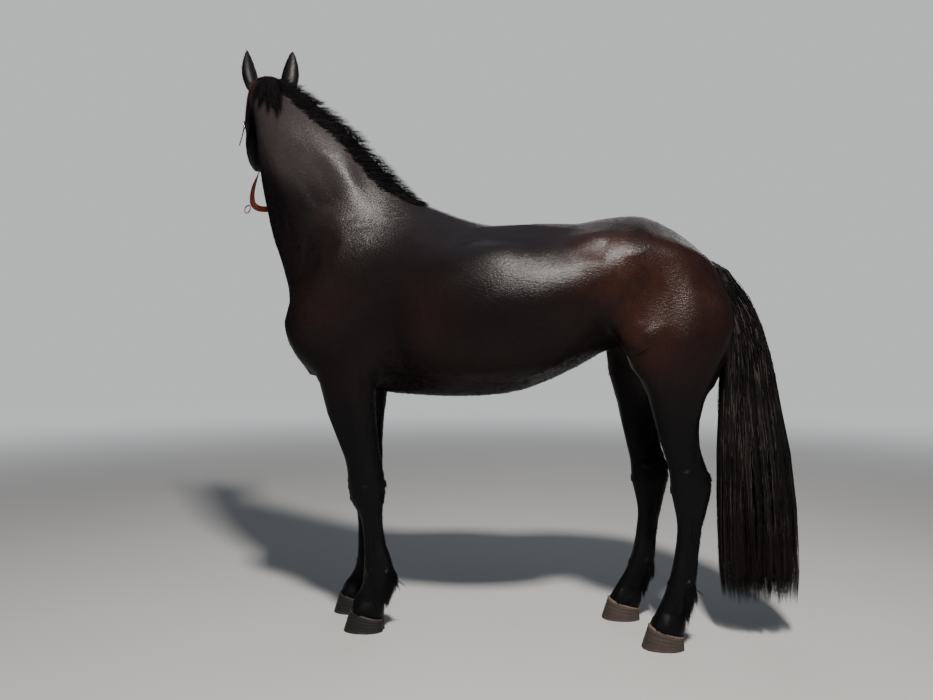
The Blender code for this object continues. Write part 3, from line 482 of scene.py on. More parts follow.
def on_neck(row, drop, side):
    """A point near the neck's side, by row from the withers up and share from crest to throat."""
    place = neck_rows(row)
    crest, throat = ORIGIN + place[:3], ORIGIN + place[3:6]
    return crest + (throat - crest) * drop + neck_side(row) * side * place[7]


def neck_side(row):
    """The direction to the neck's left at a row."""
    low, high = neck_rows(max(row - 0.5, 0.0)), neck_rows(min(row + 0.5, len(NECK) - 1.0))
    run = high[:3] - low[:3] + high[3:6] - low[3:6]
    return unit(np.cross(run, low[3:6] - low[:3]))


# Neck rows from the withers up: crest x, y, z, throat x, y, z, half widths at the crest and side.
NECK = (
    (0.0, -0.23, 1.56, 0.0, -0.64, 1.02, 0.095, 0.2),
    (0.0, -0.33, 1.63, 0.0, -0.745, 1.13, 0.068, 0.186),
    (0.0, -0.415, 1.714, 0.0, -0.796, 1.245, 0.058, 0.16),
    (0.0, -0.5, 1.804, 0.004, -0.833, 1.36, 0.054, 0.137),
    (-0.002, -0.58, 1.89, 0.012, -0.868, 1.475, 0.051, 0.119),
    (-0.01, -0.665, 1.962, 0.02, -0.895, 1.59, 0.049, 0.106),
    (-0.032, -0.75, 2.032, 0.022, -0.914, 1.7, 0.048, 0.096),
    (-0.072, -0.83, 2.088, 0.012, -0.926, 1.805, 0.048, 0.088),
    (-0.126, -0.9, 2.128, -0.022, -0.932, 1.9, 0.05, 0.078),
    (-0.185, -0.952, 2.148, -0.09, -0.948, 1.985, 0.05, 0.07),
)
# Body strokes: route from the horse's own places, width, height; the legs' follow after.
BODY_STROKES = (
    (((0.234, -0.38, 1.239), (0.24, -0.35, 1.126), (0.22, -0.336, 1.045), (0.16, -0.316, 0.948)),
     0.034, -0.0085),
    (((0.138, -0.561, 1.54), (0.118, -0.498, 1.565), (0.089, -0.448, 1.591)), 0.017, 0.0024),
    (((0.145, -0.547, 1.509), (0.128, -0.487, 1.526), (0.099, -0.419, 1.552)), 0.018, 0.003),
    (((0.155, -0.518, 1.47), (0.137, -0.436, 1.486), (0.101, -0.35, 1.513)), 0.02, 0.0028),
    (((0.141, -0.554, 1.525), (0.123, -0.492, 1.546), (0.094, -0.434, 1.572)), 0.011, -0.0014),
    (((0.15, -0.532, 1.49), (0.132, -0.462, 1.506), (0.1, -0.385, 1.532)), 0.012, -0.0016),
    (((0.202, -0.68, 1.205), (0.185, -0.637, 1.311), (0.176, -0.576, 1.403), (0.143, -0.491, 1.498)),
     0.036, 0.0045),
    (((0.207, -0.585, 1.218), (0.194, -0.515, 1.327), (0.159, -0.449, 1.439)), 0.028, -0.0035),
    (((0.15, -0.735, 1.2), (0.165, -0.69, 1.31), (0.155, -0.63, 1.43)), 0.022, -0.007),
    (((0.222, 0.4, 1.425), (0.24, 0.47, 1.385), (0.246, 0.51, 1.345)), 0.056, 0.007),
    (((0.215, 0.33, 1.33), (0.235, 0.335, 1.24), (0.238, 0.37, 1.15)), 0.03, -0.007),
    (((0.205, 0.378, 1.432), (0.228, 0.405, 1.34), (0.243, 0.44, 1.23)), 0.022, 0.0055),
    (((0.24, 0.5, 1.34), (0.247, 0.47, 1.27), (0.248, 0.452, 1.205), (0.243, 0.458, 1.14)), 0.022, 0.0075),
    (((0.24, 0.485, 1.1), (0.248, 0.498, 1.065), (0.248, 0.51, 1.03)), 0.05, 0.0185),
    (((0.2, 0.4, 1.08), (0.215, 0.44, 1.04), (0.22, 0.48, 1.0)), 0.012, 0.006),
    (((0.23, 0.509, 0.985), (0.248, 0.547, 0.98)), 0.011, -0.003),
    (((0.225, 0.52, 0.96), (0.238, 0.56, 0.955)), 0.008, 0.003),
    (((0.165, 0.715, 1.33), (0.2, 0.725, 1.18), (0.195, 0.705, 1.02)), 0.022, -0.0045),
    (((0.215, 0.62, 1.33), (0.245, 0.635, 1.18), (0.235, 0.62, 1.04)), 0.032, -0.0025),
    (((0.157, -0.331, 0.947), (0.14, -0.194, 0.911), (0.132, -0.049, 0.901), (0.12, 0.06, 0.915)),
     0.008, 0.004),
    (((0.1, -0.79, 1.2), (0.112, -0.74, 1.06), (0.105, -0.69, 0.95)), 0.016, -0.007),
    (((0.15, -0.77, 1.15), (0.18, -0.72, 1.09), (0.2, -0.64, 1.04)), 0.014, -0.0045),
    (((0.0, -0.83, 1.3), (0.0, -0.8, 1.15), (0.0, -0.74, 1.0)), 0.016, -0.006),
    (((0.0, 0.16, 1.52), (0.0, 0.45, 1.54), (0.0, 0.7, 1.44)), 0.018, -0.0025),
    (((0.06, -0.15, 1.53), (0.09, 0.1, 1.5), (0.08, 0.3, 1.52)), 0.03, 0.003),
)
FORELEG_STROKES = (
    (((0.215, -0.555, 0.96), (0.19, -0.535, 0.8), (0.16, -0.5, 0.66)), 0.01, -0.005),
    (((0.19, -0.61, 0.85), (0.165, -0.56, 0.72), (0.15, -0.53, 0.62)), 0.012, 0.003),
    (((0.105, -0.61, 0.86), (0.095, -0.56, 0.72), (0.092, -0.52, 0.64)), 0.012, -0.004),
    (((0.117, -0.402, 0.56), (0.117, -0.398, 0.53)), 0.014, 0.006),
    (((0.16, -0.475, 0.545), (0.165, -0.47, 0.515)), 0.013, 0.004),
    (((0.14, -0.53, 0.56), (0.12, -0.545, 0.555), (0.095, -0.53, 0.56)), 0.009, 0.003),
    (((0.14, -0.525, 0.49), (0.117, -0.54, 0.487), (0.092, -0.525, 0.49)), 0.008, 0.003),
    (((0.145, -0.46, 0.46), (0.138, -0.45, 0.37), (0.138, -0.448, 0.27)), 0.006, -0.0045),
    (((0.08, -0.46, 0.46), (0.076, -0.45, 0.37), (0.076, -0.448, 0.27)), 0.006, -0.0045),
    (((0.138, -0.432, 0.45), (0.134, -0.425, 0.37), (0.134, -0.418, 0.27)), 0.0045, -0.003),
    (((0.14, -0.4, 0.225), (0.136, -0.385, 0.205)), 0.012, 0.005),
    (((0.068, -0.4, 0.225), (0.072, -0.385, 0.205)), 0.012, 0.005),
    (((0.104, -0.368, 0.19), (0.104, -0.372, 0.18)), 0.009, 0.006),
    (((0.14, -0.47, 0.235), (0.145, -0.45, 0.215)), 0.012, 0.004),
    (((0.104, -0.492, 0.215), (0.104, -0.497, 0.2)), 0.014, 0.003),
    (((0.132, -0.44, 0.17), (0.134, -0.43, 0.13)), 0.012, -0.004),
    (((0.072, -0.44, 0.17), (0.07, -0.43, 0.13)), 0.012, -0.004),
    (((0.104, -0.39, 0.11), (0.104, -0.4, 0.085)), 0.009, -0.007),
)
HINDLEG_STROKES = (
    (((0.21, 0.64, 0.93), (0.195, 0.66, 0.83), (0.18, 0.672, 0.76)), 0.014, -0.005),
    (((0.18, 0.695, 0.8), (0.168, 0.702, 0.72), (0.162, 0.712, 0.65)), 0.014, -0.01),
    (((0.118, 0.69, 0.8), (0.108, 0.7, 0.72), (0.105, 0.71, 0.65)), 0.014, -0.01),
    (((0.135, 0.765, 0.62), (0.132, 0.772, 0.58)), 0.015, 0.005),
    (((0.175, 0.665, 0.62), (0.178, 0.68, 0.59)), 0.015, 0.0045),
    (((0.092, 0.665, 0.62), (0.09, 0.68, 0.59)), 0.015, 0.006),
    (((0.134, 0.625, 0.56), (0.132, 0.628, 0.53)), 0.014, 0.0035),
    (((0.162, 0.705, 0.5), (0.162, 0.697, 0.4), (0.165, 0.68, 0.29)), 0.006, -0.0048),
    (((0.102, 0.705, 0.5), (0.104, 0.697, 0.4), (0.108, 0.68, 0.29)), 0.006, -0.0048),
    (((0.156, 0.722, 0.49), (0.156, 0.712, 0.4), (0.16, 0.697, 0.29)), 0.0045, -0.003),
    (((0.176, 0.68, 0.24), (0.174, 0.69, 0.22)), 0.012, 0.005),
    (((0.104, 0.68, 0.24), (0.106, 0.69, 0.22)), 0.012, 0.005),
    (((0.142, 0.706, 0.205), (0.142, 0.702, 0.19)), 0.009, 0.006),
    (((0.142, 0.61, 0.235), (0.142, 0.606, 0.215)), 0.014, 0.003),
    (((0.178, 0.65, 0.175), (0.178, 0.635, 0.135)), 0.012, -0.004),
    (((0.112, 0.65, 0.175), (0.114, 0.635, 0.135)), 0.012, -0.004),
    (((0.15, 0.69, 0.115), (0.15, 0.68, 0.088)), 0.009, -0.007),
)
# Neck strokes: route by (row, drop), width, height.
NECK_STROKES = (
    (((6.4, 0.36), (5.0, 0.29), (4.0, 0.26), (3.0, 0.21), (2.2, 0.15)), 0.056, 0.0025),
    (((6.2, 0.17), (5.0, 0.16), (3.6, 0.12), (2.1, 0.09)), 0.04, -0.002),
    (((7.4, 0.84), (5.4, 0.84), (4.2, 0.85), (3.0, 0.86), (2.0, 0.88)), 0.034, -0.0065),
    (((7.2, 0.7), (5.4, 0.7), (4.0, 0.7), (2.6, 0.7)), 0.05, 0.0032),
    (((6.0, 0.54), (4.6, 0.52), (3.2, 0.48), (2.2, 0.44)), 0.042, -0.003),
    (((7.8, 0.3), (8.4, 0.45), (8.6, 0.65)), 0.02, -0.006),
)
# Head strokes: route by (along, above, left), width, height.
HEAD_STROKES = (
    (((0.146, -0.022, 0.072), (0.172, -0.02, 0.076)), 0.018, -0.006),
    (((0.19, -0.012, 0.078), (0.216, -0.014, 0.084), (0.242, -0.024, 0.082)), 0.014, 0.0022),
    (((0.24, -0.086, 0.09), (0.19, -0.084, 0.096), (0.13, -0.072, 0.09), (0.085, -0.066, 0.085)),
     0.011, 0.0045),
    (((0.262, -0.084, 0.086), (0.32, -0.086, 0.075), (0.392, -0.082, 0.06)), 0.0085, 0.005),
    (((0.27, -0.105, 0.085), (0.33, -0.106, 0.07), (0.395, -0.1, 0.052)), 0.012, -0.0035),
    (((0.1, -0.195, 0.07), (0.16, -0.24, 0.066), (0.225, -0.258, 0.062), (0.29, -0.246, 0.058)),
     0.012, 0.0035),
    (((0.322, -0.225, 0.055), (0.345, -0.18, 0.062), (0.338, -0.13, 0.072), (0.31, -0.105, 0.08)),
     0.01, -0.0055),
    (((0.3, -0.225, 0.06), (0.318, -0.18, 0.07), (0.312, -0.135, 0.08)), 0.012, 0.0035),
    (((0.335, -0.215, 0.055), (0.352, -0.16, 0.062), (0.375, -0.12, 0.06), (0.415, -0.085, 0.052)),
     0.0035, 0.0022),
    (((0.365, -0.135, 0.06), (0.4, -0.125, 0.052), (0.45, -0.115, 0.046)), 0.0032, 0.0018),
    (((0.255, -0.07, 0.088), (0.29, -0.055, 0.075), (0.34, -0.045, 0.06)), 0.0035, 0.0016),
    (((0.275, -0.04, 0.072), (0.35, -0.036, 0.055), (0.45, -0.036, 0.042), (0.51, -0.03, 0.042)),
     0.01, -0.004),
    (((0.32, -0.06, 0.066), (0.4, -0.058, 0.052), (0.48, -0.045, 0.044), (0.52, -0.02, 0.034)), 0.01, 0.003),
    (((0.4, -0.1, 0.055), (0.45, -0.095, 0.048), (0.5, -0.095, 0.046)), 0.012, -0.003),
    (((0.46, -0.14, 0.03), (0.5, -0.152, 0.022), (0.5, -0.152, 0.0)), 0.01, -0.004),
    (((0.13, -0.12, 0.095), (0.2, -0.14, 0.1), (0.27, -0.15, 0.09)), 0.03, 0.002),
    (((0.06, -0.08, 0.085), (0.075, -0.13, 0.08), (0.09, -0.175, 0.07)), 0.012, -0.005),
)
LIP_LINE = ((0.516, -0.12, 0.046), (0.548, -0.118, 0.047), (0.58, -0.113, 0.038), (0.603, -0.107, 0.02))


def round_the_mouth(drop):
    """The lip line from one corner of the mouth to the other, lowered by the drop."""
    half = [(along, above - drop, left) for along, above, left in LIP_LINE]
    front = [(0.612, -0.104 - drop, 0.0)]
    other = [(along, above, -left) for along, above, left in reversed(half)]
    return [on_head(*place) for place in half + front + other]


def sculpt_strokes(surface):
    for strokes, leg in ((BODY_STROKES, None), (FORELEG_STROKES, "fore"), (HINDLEG_STROKES, "hind")):
        for route, width, height in strokes:
            for places in paired(route, leg):
                surface.stroke(places, width, height)
    for side in SIDES.values():
        for route, width, height in NECK_STROKES:
            surface.stroke([on_neck(row, drop, side) for row, drop in route], width, height)
        for route, width, height in HEAD_STROKES:
            surface.stroke([on_head(a, b, c * side) for a, b, c in route], width, height)
    surface.stroke(round_the_mouth(0.0), 0.0042, -0.0075, 0.04)
    surface.stroke(round_the_mouth(-0.01), 0.007, 0.0028, 0.1)
    surface.stroke(round_the_mouth(0.011), 0.0075, 0.0026, 0.1)
    surface.stroke([on_head(0.622, -0.06, 0.0), on_head(0.626, -0.085, 0.0)], 0.006, -0.0025)


def eye_axes(side):
    """Centre of an eye with its outward, forward and upward directions."""
    centre = eye_centre(side)
    out = unit(LEFT * (0.93 * side) + ALONG * 0.24 + ABOVE * 0.2)
    fore = unit(ALONG - out * (ALONG @ out))
    up = np.cross(out, fore) * side
    cos, sin = math.cos(EYE_TILT), math.sin(EYE_TILT)
    return centre, out, fore * cos + up * sin, up * cos - fore * sin


EYE_TILT = math.radians(-14.0)
LID_WIDTH = 0.8                # half the opening, as a share of the eye's radius
LID_THICKNESS = 0.0022


def lid_margins(across):
    """Heights of the upper and lower lid's edges at a place across the eye."""
    inside = np.clip(1.0 - (np.abs(across) / LID_WIDTH) ** 2.0, 0.0, 1.0)
    return 0.56 * inside ** 0.72, -0.42 * inside ** 0.85


def shape_lids(surface, side):
    """Draw the skin over the eyeball and part it along the lids."""
    centre, out, fore, up = eye_axes(side)
    away = surface.points - centre
    reach = np.linalg.norm(away, axis=1)
    facing = away @ out
    chosen = np.nonzero((reach < 1.75 * EYE_RADIUS) & (facing > 0.05 * reach))[0]
    reach, way = reach[chosen], unit(away[chosen])
    across, above = way @ fore, way @ up
    upper, lower = lid_margins(across)
    beyond = np.maximum(above - upper, lower - above)
    outer = np.abs(across) > LID_WIDTH
    beyond[outer] = np.hypot(np.abs(across[outer]) - LID_WIDTH, above[outer])
    edge = (np.abs(beyond) < 0.045) & ~outer
    above[edge] -= np.where(above[edge] > 0, beyond[edge], -beyond[edge])
    beyond[edge] = 0.0
    crease = np.exp(-((beyond - 0.27) / 0.07) ** 2) * soft(-0.1, 0.25, above)
    fold = np.exp(-((beyond - 0.45) / 0.11) ** 2)
    bag = np.exp(-((beyond - 0.24) / 0.06) ** 2) * soft(0.05, -0.25, above)
    lid = EYE_RADIUS + LID_THICKNESS + 0.0006 * fold
    blended = lid + (reach - lid) * soft(0.2, 0.85, beyond) - 0.002 * crease - 0.001 * bag
    blended = np.where(beyond < 0.0, EYE_RADIUS - 0.004, blended)
    depth = np.sqrt(np.clip(1.0 - across ** 2 - above ** 2, 0.0, 1.0))
    way = unit(fore * across[:, None] + up * above[:, None] + out * depth[:, None])
    surface.points[chosen] = centre + way * blended[:, None]


def shape_nostril(surface, side):
    """A deep comma-shaped opening with a raised rim."""
    centre = surface.settle([on_head(*NOSTRIL_PLACE, 0.07 * side)])[0]
    out = unit(LEFT * (0.8 * side) + ALONG * 0.58 + ABOVE * 0.12)
    long_way = unit(ALONG * 0.45 - ABOVE * 0.8)
    long_way = unit(long_way - out * (long_way @ out))
    across = np.cross(out, long_way) * side
    away = surface.points - centre
    chosen = np.nonzero((np.linalg.norm(away, axis=1) < 0.05) & (away @ out > -0.03))[0]
    away = away[chosen]
    run, off = away @ long_way, away @ across
    off = off + 12.0 * run ** 2 - 0.002
    round_off = np.sqrt((run / 0.02) ** 2 + (off / (0.0085 - 0.12 * run)) ** 2)
    hollow = 1.0 - soft(0.25, 1.1, round_off)
    rim = np.exp(-((round_off - 1.35) / 0.28) ** 2)
    inward = unit(-out * 0.9 - ALONG * 0.35)
    surface.points[chosen] += inward * (0.024 * hollow)[:, None] + out * (0.0032 * rim)[:, None]


# ----------------------------------------------------------------- ears
EAR_PLACE = (0.034, -0.004)
EAR_HEIGHT = 0.157
EAR_WIDTH = 0.072
# Each ear by side: place, how far its cup opens outwards, lean outwards and to the nose.
EAR_SET = {1.0: (0.07, 1.35, 0.2, 0.1), -1.0: (0.078, 0.2, 0.14, 0.06)}
EAR_INSET = 0.0015              # the shell stays this far inside the solid's outline
EAR_DRAW = 0.01                 # skin this near the fine shell is drawn onto it


def ear_axes(side):
    place, turn, apart, forward = EAR_SET[side]
    foot = on_head(*EAR_PLACE, place * side)
    lean = unit(UPWARD + LEFT * (apart * side) + HEADING * forward)
    opening = unit(HEADING + LEFT * (turn * side))
    opening = unit(opening - lean * (opening @ lean))
    return foot, lean, opening, np.cross(lean, opening)


def on_ear(points, side, low, reach):
    """Which points lie beyond a height up the ear and within reach of its foot."""
    foot, lean, _, _ = ear_axes(side)
    away = points - foot
    return (away @ lean > low) & (np.linalg.norm(away, axis=1) < reach)


def ear_half_width(share):
    """Half width of the ear from its foot, nought, to its tip, one."""
    return EAR_WIDTH / 2.0 * (0.8 + 1.1 * share - 1.86 * share ** 2 + 0.06 * share ** 3)


def ear_shell(side, wall, rows=48, columns=41):
    """An ear as a closed shell: outer and inner faces of a rolled leaf."""
    foot, lean, opening, across = ear_axes(side)
    share = np.linspace(0.0, 1.0, rows)[:, None, None]
    turn = np.linspace(-1.0, 1.0, columns)[None, :, None]
    radius = np.maximum(ear_half_width(share) - EAR_INSET * share, 0.0025)
    angle = np.radians(152.0 - 62.0 * share) * turn
    middle = foot + lean * (EAR_HEIGHT * (share * 1.1 - 0.12)) - LEFT * side * (0.004 * share ** 2)
    middle = middle + opening * (0.006 * np.sin(math.pi * share))
    way = -opening * np.cos(angle) * 0.75 + across * np.sin(angle)
    thick = wall * (1.0 - 0.45 * np.abs(turn) ** 3)
    outer = middle + way * (radius + thick / 2.0)
    inner = middle + way * np.maximum(radius - thick / 2.0, 0.0005)
    points = np.vstack([outer.reshape(-1, 3), inner.reshape(-1, 3)])
    grid = np.arange(rows * columns).reshape(rows, columns)
    low, high = grid[:-1, :-1], grid[1:, 1:]
    quads = np.stack([low, grid[:-1, 1:], high, grid[1:, :-1]], axis=-1).reshape(-1, 4)
    other = quads[:, ::-1] + rows * columns
    ring = np.concatenate([grid[0], grid[1:, -1], grid[-1, -2::-1], grid[-2:0:-1, 0]])
    after = np.roll(ring, -1)
    walls = np.stack([ring, ring + rows * columns, after + rows * columns, after], axis=-1)
    quads = np.vstack([quads, other, walls])
    if side > 0:
        quads = quads[:, ::-1]
    return points, split_quads(quads)


def sharpen_ears(surface):
    """Draw the ears' faces onto thin, fine shells, more and more above the foot."""
    for side in SIDES.values():
        foot, lean, _, _ = ear_axes(side)
        points, faces = ear_shell(side, 0.0042, 96, 81)
        tree = BVHTree.FromPolygons(points.tolist(), faces.tolist())
        away = surface.points - foot
        height = away @ lean
        aside = np.linalg.norm(away - lean * height[:, None], axis=1)
        near = (height > 0.008) & (height < 0.18) & (aside < 0.055)
        for index in np.nonzero(near)[0]:
            spot, _, _, gap = tree.find_nearest(Vector(surface.points[index]))
            if gap < EAR_DRAW:
                share = soft(0.01, 0.04, height[index])
                surface.points[index] += (np.array(spot) - surface.points[index]) * share


# ----------------------------------------------------------------- shader sums and finishes
class Signal:
    """A shader socket that takes part in sums like a number."""

    def __init__(self, finish, socket):
        self.finish, self.socket = finish, socket

    def joined(self, operation, first, second):
        return self.finish.make("ShaderNodeMath", {"operation": operation}, {0: first, 1: second})

    def __add__(self, other):
        return self.joined("ADD", self, other)

    __radd__ = __add__

    def __sub__(self, other):
        return self.joined("SUBTRACT", self, other)

    def __rsub__(self, other):
        return self.joined("SUBTRACT", other, self)

    def __mul__(self, other):
        return self.joined("MULTIPLY", self, other)

    __rmul__ = __mul__

    def __truediv__(self, other):
        return self.joined("DIVIDE", self, other)

    def __pow__(self, other):
        return self.joined("POWER", self, other)


class Finish:
    """A material, made of one Principled shader and the nodes that feed it."""

    def __init__(self, name):
        self.material = bpy.data.materials.new(name)
        self.material.use_nodes = True
        self.tree = self.material.node_tree
        self.shader = self.tree.nodes["Principled BSDF"]

    def make(self, kind, settings, values, output=0):
        """Add a node: its settings first, then the values or links of its sockets."""
        node = self.tree.nodes.new(kind)
        for key, value in settings.items():
            setattr(node, key, value)
        self.set_sockets(node, values)
        return Signal(self, node.outputs[output])

    def set_sockets(self, node, values):
        for key, value in values.items():
            socket = node.inputs[key]
            if isinstance(value, Signal):
                self.tree.links.new(value.socket, socket)
            elif isinstance(value, tuple) and socket.type == "RGBA":
                socket.default_value = (*value, 1.0)
            else:
                socket.default_value = value

    def feed(self, values):
        self.set_sockets(self.shader, values)

    def place(self):
        """The place on the piece, in metres."""
        return self.make("ShaderNodeTexCoord", {}, {}, 3)

    def painted(self, name):
        """A number kept on the mesh."""
        return self.make("ShaderNodeAttribute", {"attribute_name": name}, {}, 2)

    def stretched(self, sizes, turn=(0.0, 0.0, 0.0)):
        """The place with each axis scaled, after a turn."""
        return self.make("ShaderNodeMapping", {"vector_type": "POINT"},
                         {"Vector": self.place(), "Rotation": turn, "Scale": sizes})

    def noise(self, vector, scale, detail=2.0, roughness=0.5):
        return self.make("ShaderNodeTexNoise", {},
                         {"Vector": vector, "Scale": scale, "Detail": detail, "Roughness": roughness})

    def mixed(self, share, first, second):
        """One colour run into another."""
        return self.make("ShaderNodeMix", {"data_type": "RGBA"}, {0: share, 6: first, 7: second}, 2)

    def step(self, value, low, high):
        """Nought below low, one above high, smooth between."""
        return self.make("ShaderNodeMapRange", {"interpolation_type": "SMOOTHSTEP"},
                         {"Value": value, "From Min": low, "From Max": high})

    def bumped(self, height, depth, strength=1.0):
        bump = self.make("ShaderNodeBump", {}, {"Height": height, "Distance": depth, "Strength": strength})
        self.feed({"Normal": bump})


JET = (0.0018, 0.0017, 0.0021)
SEAL = (0.0046, 0.003, 0.0031)
RUST = (0.0175, 0.0062, 0.0044)
# Grey-brown of the upper neck: partly the coat's own tone, mostly a painted sheen for the neck's broad
# highlight.
GREY_AND_SHEEN = (0.019, 0.0148, 0.015)
HIDE = (0.008, 0.0068, 0.007)


def coat_colour(finish):
    """Seal brown, a painted grey-brown sheen on the upper neck, rust on the quarters, jet on the legs and
    dark hide where it is bare.
    """
    cloud = finish.noise(finish.place(), 7.0, 4.0, 0.6)
    fleck = finish.noise(finish.stretched((260.0, 90.0, 130.0)), 1.0, 3.0, 0.7)
    # Painted sheen: the upper neck is paled towards grey-brown where its broad highlight falls.
    shade = finish.mixed(finish.painted("grey_and_sheen") * 0.8, SEAL, GREY_AND_SHEEN)
    shade = finish.mixed(finish.painted("rust") * finish.step(cloud, 0.18, 0.6), shade, RUST)
    shade = finish.mixed(finish.painted("jet") * 0.9, shade, JET)
    shade = finish.mixed(finish.painted("bare"), shade, HIDE)
    light = finish.make("ShaderNodeHueSaturation", {}, {"Color": shade, "Saturation": 0.9, "Value": 1.6})
    return finish.mixed(finish.step(fleck, 0.42, 0.78) * 0.6, shade, light)


def coat_finish():
    """Short glossy hair, lying back on the body and down on the legs."""
    finish = Finish("coat")
    body = finish.noise(finish.stretched((900.0, 130.0, 500.0), (0.25, 0.0, 0.0)), 1.0, 3.0, 0.65)
    leg = finish.noise(finish.stretched((900.0, 900.0, 130.0)), 1.0, 3.0, 0.65)
    wave = finish.noise(finish.stretched((210.0, 75.0, 150.0), (0.25, 0.0, 0.0)), 1.0, 3.0, 0.6)
    low = finish.painted("jet")
    height = body * (1 - low) + leg * low
    lumps = height * 0.35 + wave * 0.65
    rough = 0.24 + 0.13 * finish.noise(finish.place(), 22.0, 3.0) + 0.12 * low + 0.06 * finish.painted("bare")
    finish.feed({
        "Base Color": coat_colour(finish),
        "Roughness": rough,
        "Specular IOR Level": 0.11,
    })
    finish.bumped(lumps, 0.0019, 0.8)
    return finish.material


# ----------------------------------------------------------------- markings
def blob(places, centre, radii):
    """A soft round patch: one at its centre, nought a little beyond its radii."""
    gap = (((places - centre) / radii) ** 2).sum(1)
    return np.exp(-gap)


# Rust patches: strength, centre and radii from the horse's own places, on both sides.
RUST_PATCHES = (
    (0.95, (0.24, 0.42, 1.33), (0.16, 0.15, 0.16)),
    (0.85, (0.22, 0.6, 1.2), (0.16, 0.2, 0.2)),
    (0.55, (0.1, 0.77, 1.18), (0.1, 0.09, 0.22)),
    (0.6, (0.24, 0.5, 1.02), (0.1, 0.1, 0.13)),
    (0.42, (0.25, -0.22, 1.08), (0.12, 0.09, 0.2)),
    (0.34, (0.22, 0.05, 0.96), (0.16, 0.22, 0.09)),
    (0.38, (0.13, -0.52, 1.53), (0.1, 0.14, 0.08)),
    (0.3, (0.2, -0.62, 1.2), (0.1, 0.12, 0.12)),
)


def markings(points):
    """Where the coat is rust brown, jet black, bare skin or paled by a painted sheen on the upper neck, at
    places of the scene.
    """
    places = points - ORIGIN
    mirrored = np.column_stack([np.abs(places[:, 0]), places[:, 1:]])
    rust = sum(share * blob(mirrored, centre, radii) for share, centre, radii in RUST_PATCHES)
    head = head_places(points)
    on_the_head = soft(0.02, 0.1, head[:, 0]) * near_head(head)
    legs = soft(0.98, 0.72, places[:, 2])
    jet = np.clip(legs + 0.35 * on_the_head, 0.0, 1.0)
    bare = on_the_head * soft(0.5, 0.575, head[:, 0])
    for side in (1.0, -1.0):
        bare = np.maximum(bare, 0.8 * soft(0.036, 0.026, from_eye(head, side)))
        jet = np.maximum(jet, 0.95 * on_ear(points, side, -0.01, 0.19))
    # Painted sheen: marks the upper neck, where its broad highlight falls, for a paler grey-brown.
    grey_and_sheen = soft(1.45, 1.7, places[:, 2]) * soft(-0.3, -0.55, places[:, 1]) * (1.0 - on_the_head)
    return {"rust": np.clip(rust, 0.0, 1.0), "jet": jet, "bare": bare, "grey_and_sheen": grey_and_sheen}


# ----------------------------------------------------------------- the finished skin
def protected(points):
    """Places whose small folds are kept when the skin is thinned: one is kept whole."""
    head = head_places(points)
    places = points - ORIGIN
    kept = 0.8 * soft(0.0, 0.06, head[:, 0]) * near_head(head)
    kept = np.maximum(kept, 0.45 * soft(0.8, 0.6, places[:, 2]))
    for side in (1.0, -1.0):
        kept = np.maximum(kept, 0.95 * soft(0.045, 0.035, from_eye(head, side)))
        kept = np.maximum(kept, 0.88 * on_ear(points, side, 0.0, 0.15))
    return kept


def make_skin(material):
    surface = Surface(base_surface())
    surface.rise -= COAT_DEPTH
    surface.apply()
    for side in SIDES.values():
        surface.relax(on_head(0.205, -0.026, 0.086 * side), 0.064, 160)
        surface.relax(horse(0.1 * side, -0.5, 1.66), 0.17, 130)
    surface.apply()
    sculpt_strokes(surface)
    surface.apply()
    for side in SIDES.values():
        shape_nostril(surface, side)
        shape_lids(surface, side)
    sharpen_ears(surface)
    surface.apply()
    item = surface.item
    item.name = "skin"
    fine_tree = BVHTree.FromObject(item, bpy.context.evaluated_depsgraph_get())
    group = item.vertex_groups.new(name="open")
    levels = np.round((1.0 - protected(surface.points)) * 20.0) / 20.0
    for level in np.unique(levels):
        group.add(np.nonzero(levels == level)[0].tolist(), float(level), "REPLACE")
    share = SKIN_TRIANGLES / len(surface.faces)
    modified(item, "DECIMATE", ratio=share, vertex_group="open")
    item.vertex_groups.clear()
    points, faces = mesh_arrays(item.data)
    mesh = mesh_from("skin", points, faces)
    item.data = mesh
    under = [fine_tree.find_nearest(Vector(point))[2] for point in points]
    blended = unit(surface.normals[surface.faces[under]].sum(1))
    own = vertex_normals(mesh)
    blended = np.where(((blended * own).sum(1) > 0.75)[:, None], blended, own)
    mesh.normals_split_custom_set_from_vertices(blended.tolist())
    mesh.materials.append(material)
    for name, values in markings(points).items():
        store(mesh, name, values)
    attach(item, "root")
    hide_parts(*FLESH, "ear_left", "ear_right")
    return item


# ----------------------------------------------------------------- eyes
def eye_finish():
    """Dark brown iris with a level pupil, under a wet clear coat."""
    finish = Finish("eye_wet")
    turn = finish.painted("turn")
    ring = finish.painted("ring")
    spokes = finish.make("ShaderNodeCombineXYZ", {}, {"X": turn * 9.0, "Y": ring * 1.5})
    streak = finish.make("ShaderNodeTexNoise", {"noise_dimensions": "2D"},
                         {"Vector": spokes, "Scale": 3.0, "Detail": 3.0})
    iris = finish.mixed(streak, (0.014, 0.0065, 0.0035), (0.045, 0.018, 0.0075))
    iris = finish.mixed(finish.step(ring, 0.52, 0.62), iris, (0.01, 0.006, 0.005))
    white = finish.mixed(finish.step(ring, 0.66, 0.78), iris, (0.06, 0.04, 0.034))
    finish.feed({
        "Base Color": finish.mixed(finish.painted("pupil"), white, (0.0015, 0.0018, 0.003)),
        "Roughness": 0.12 + 0.04 * streak,
        "Coat Weight": 1.0,
        "Coat Roughness": 0.02,
        "Specular IOR Level": 0.5,
    })
    return finish.material


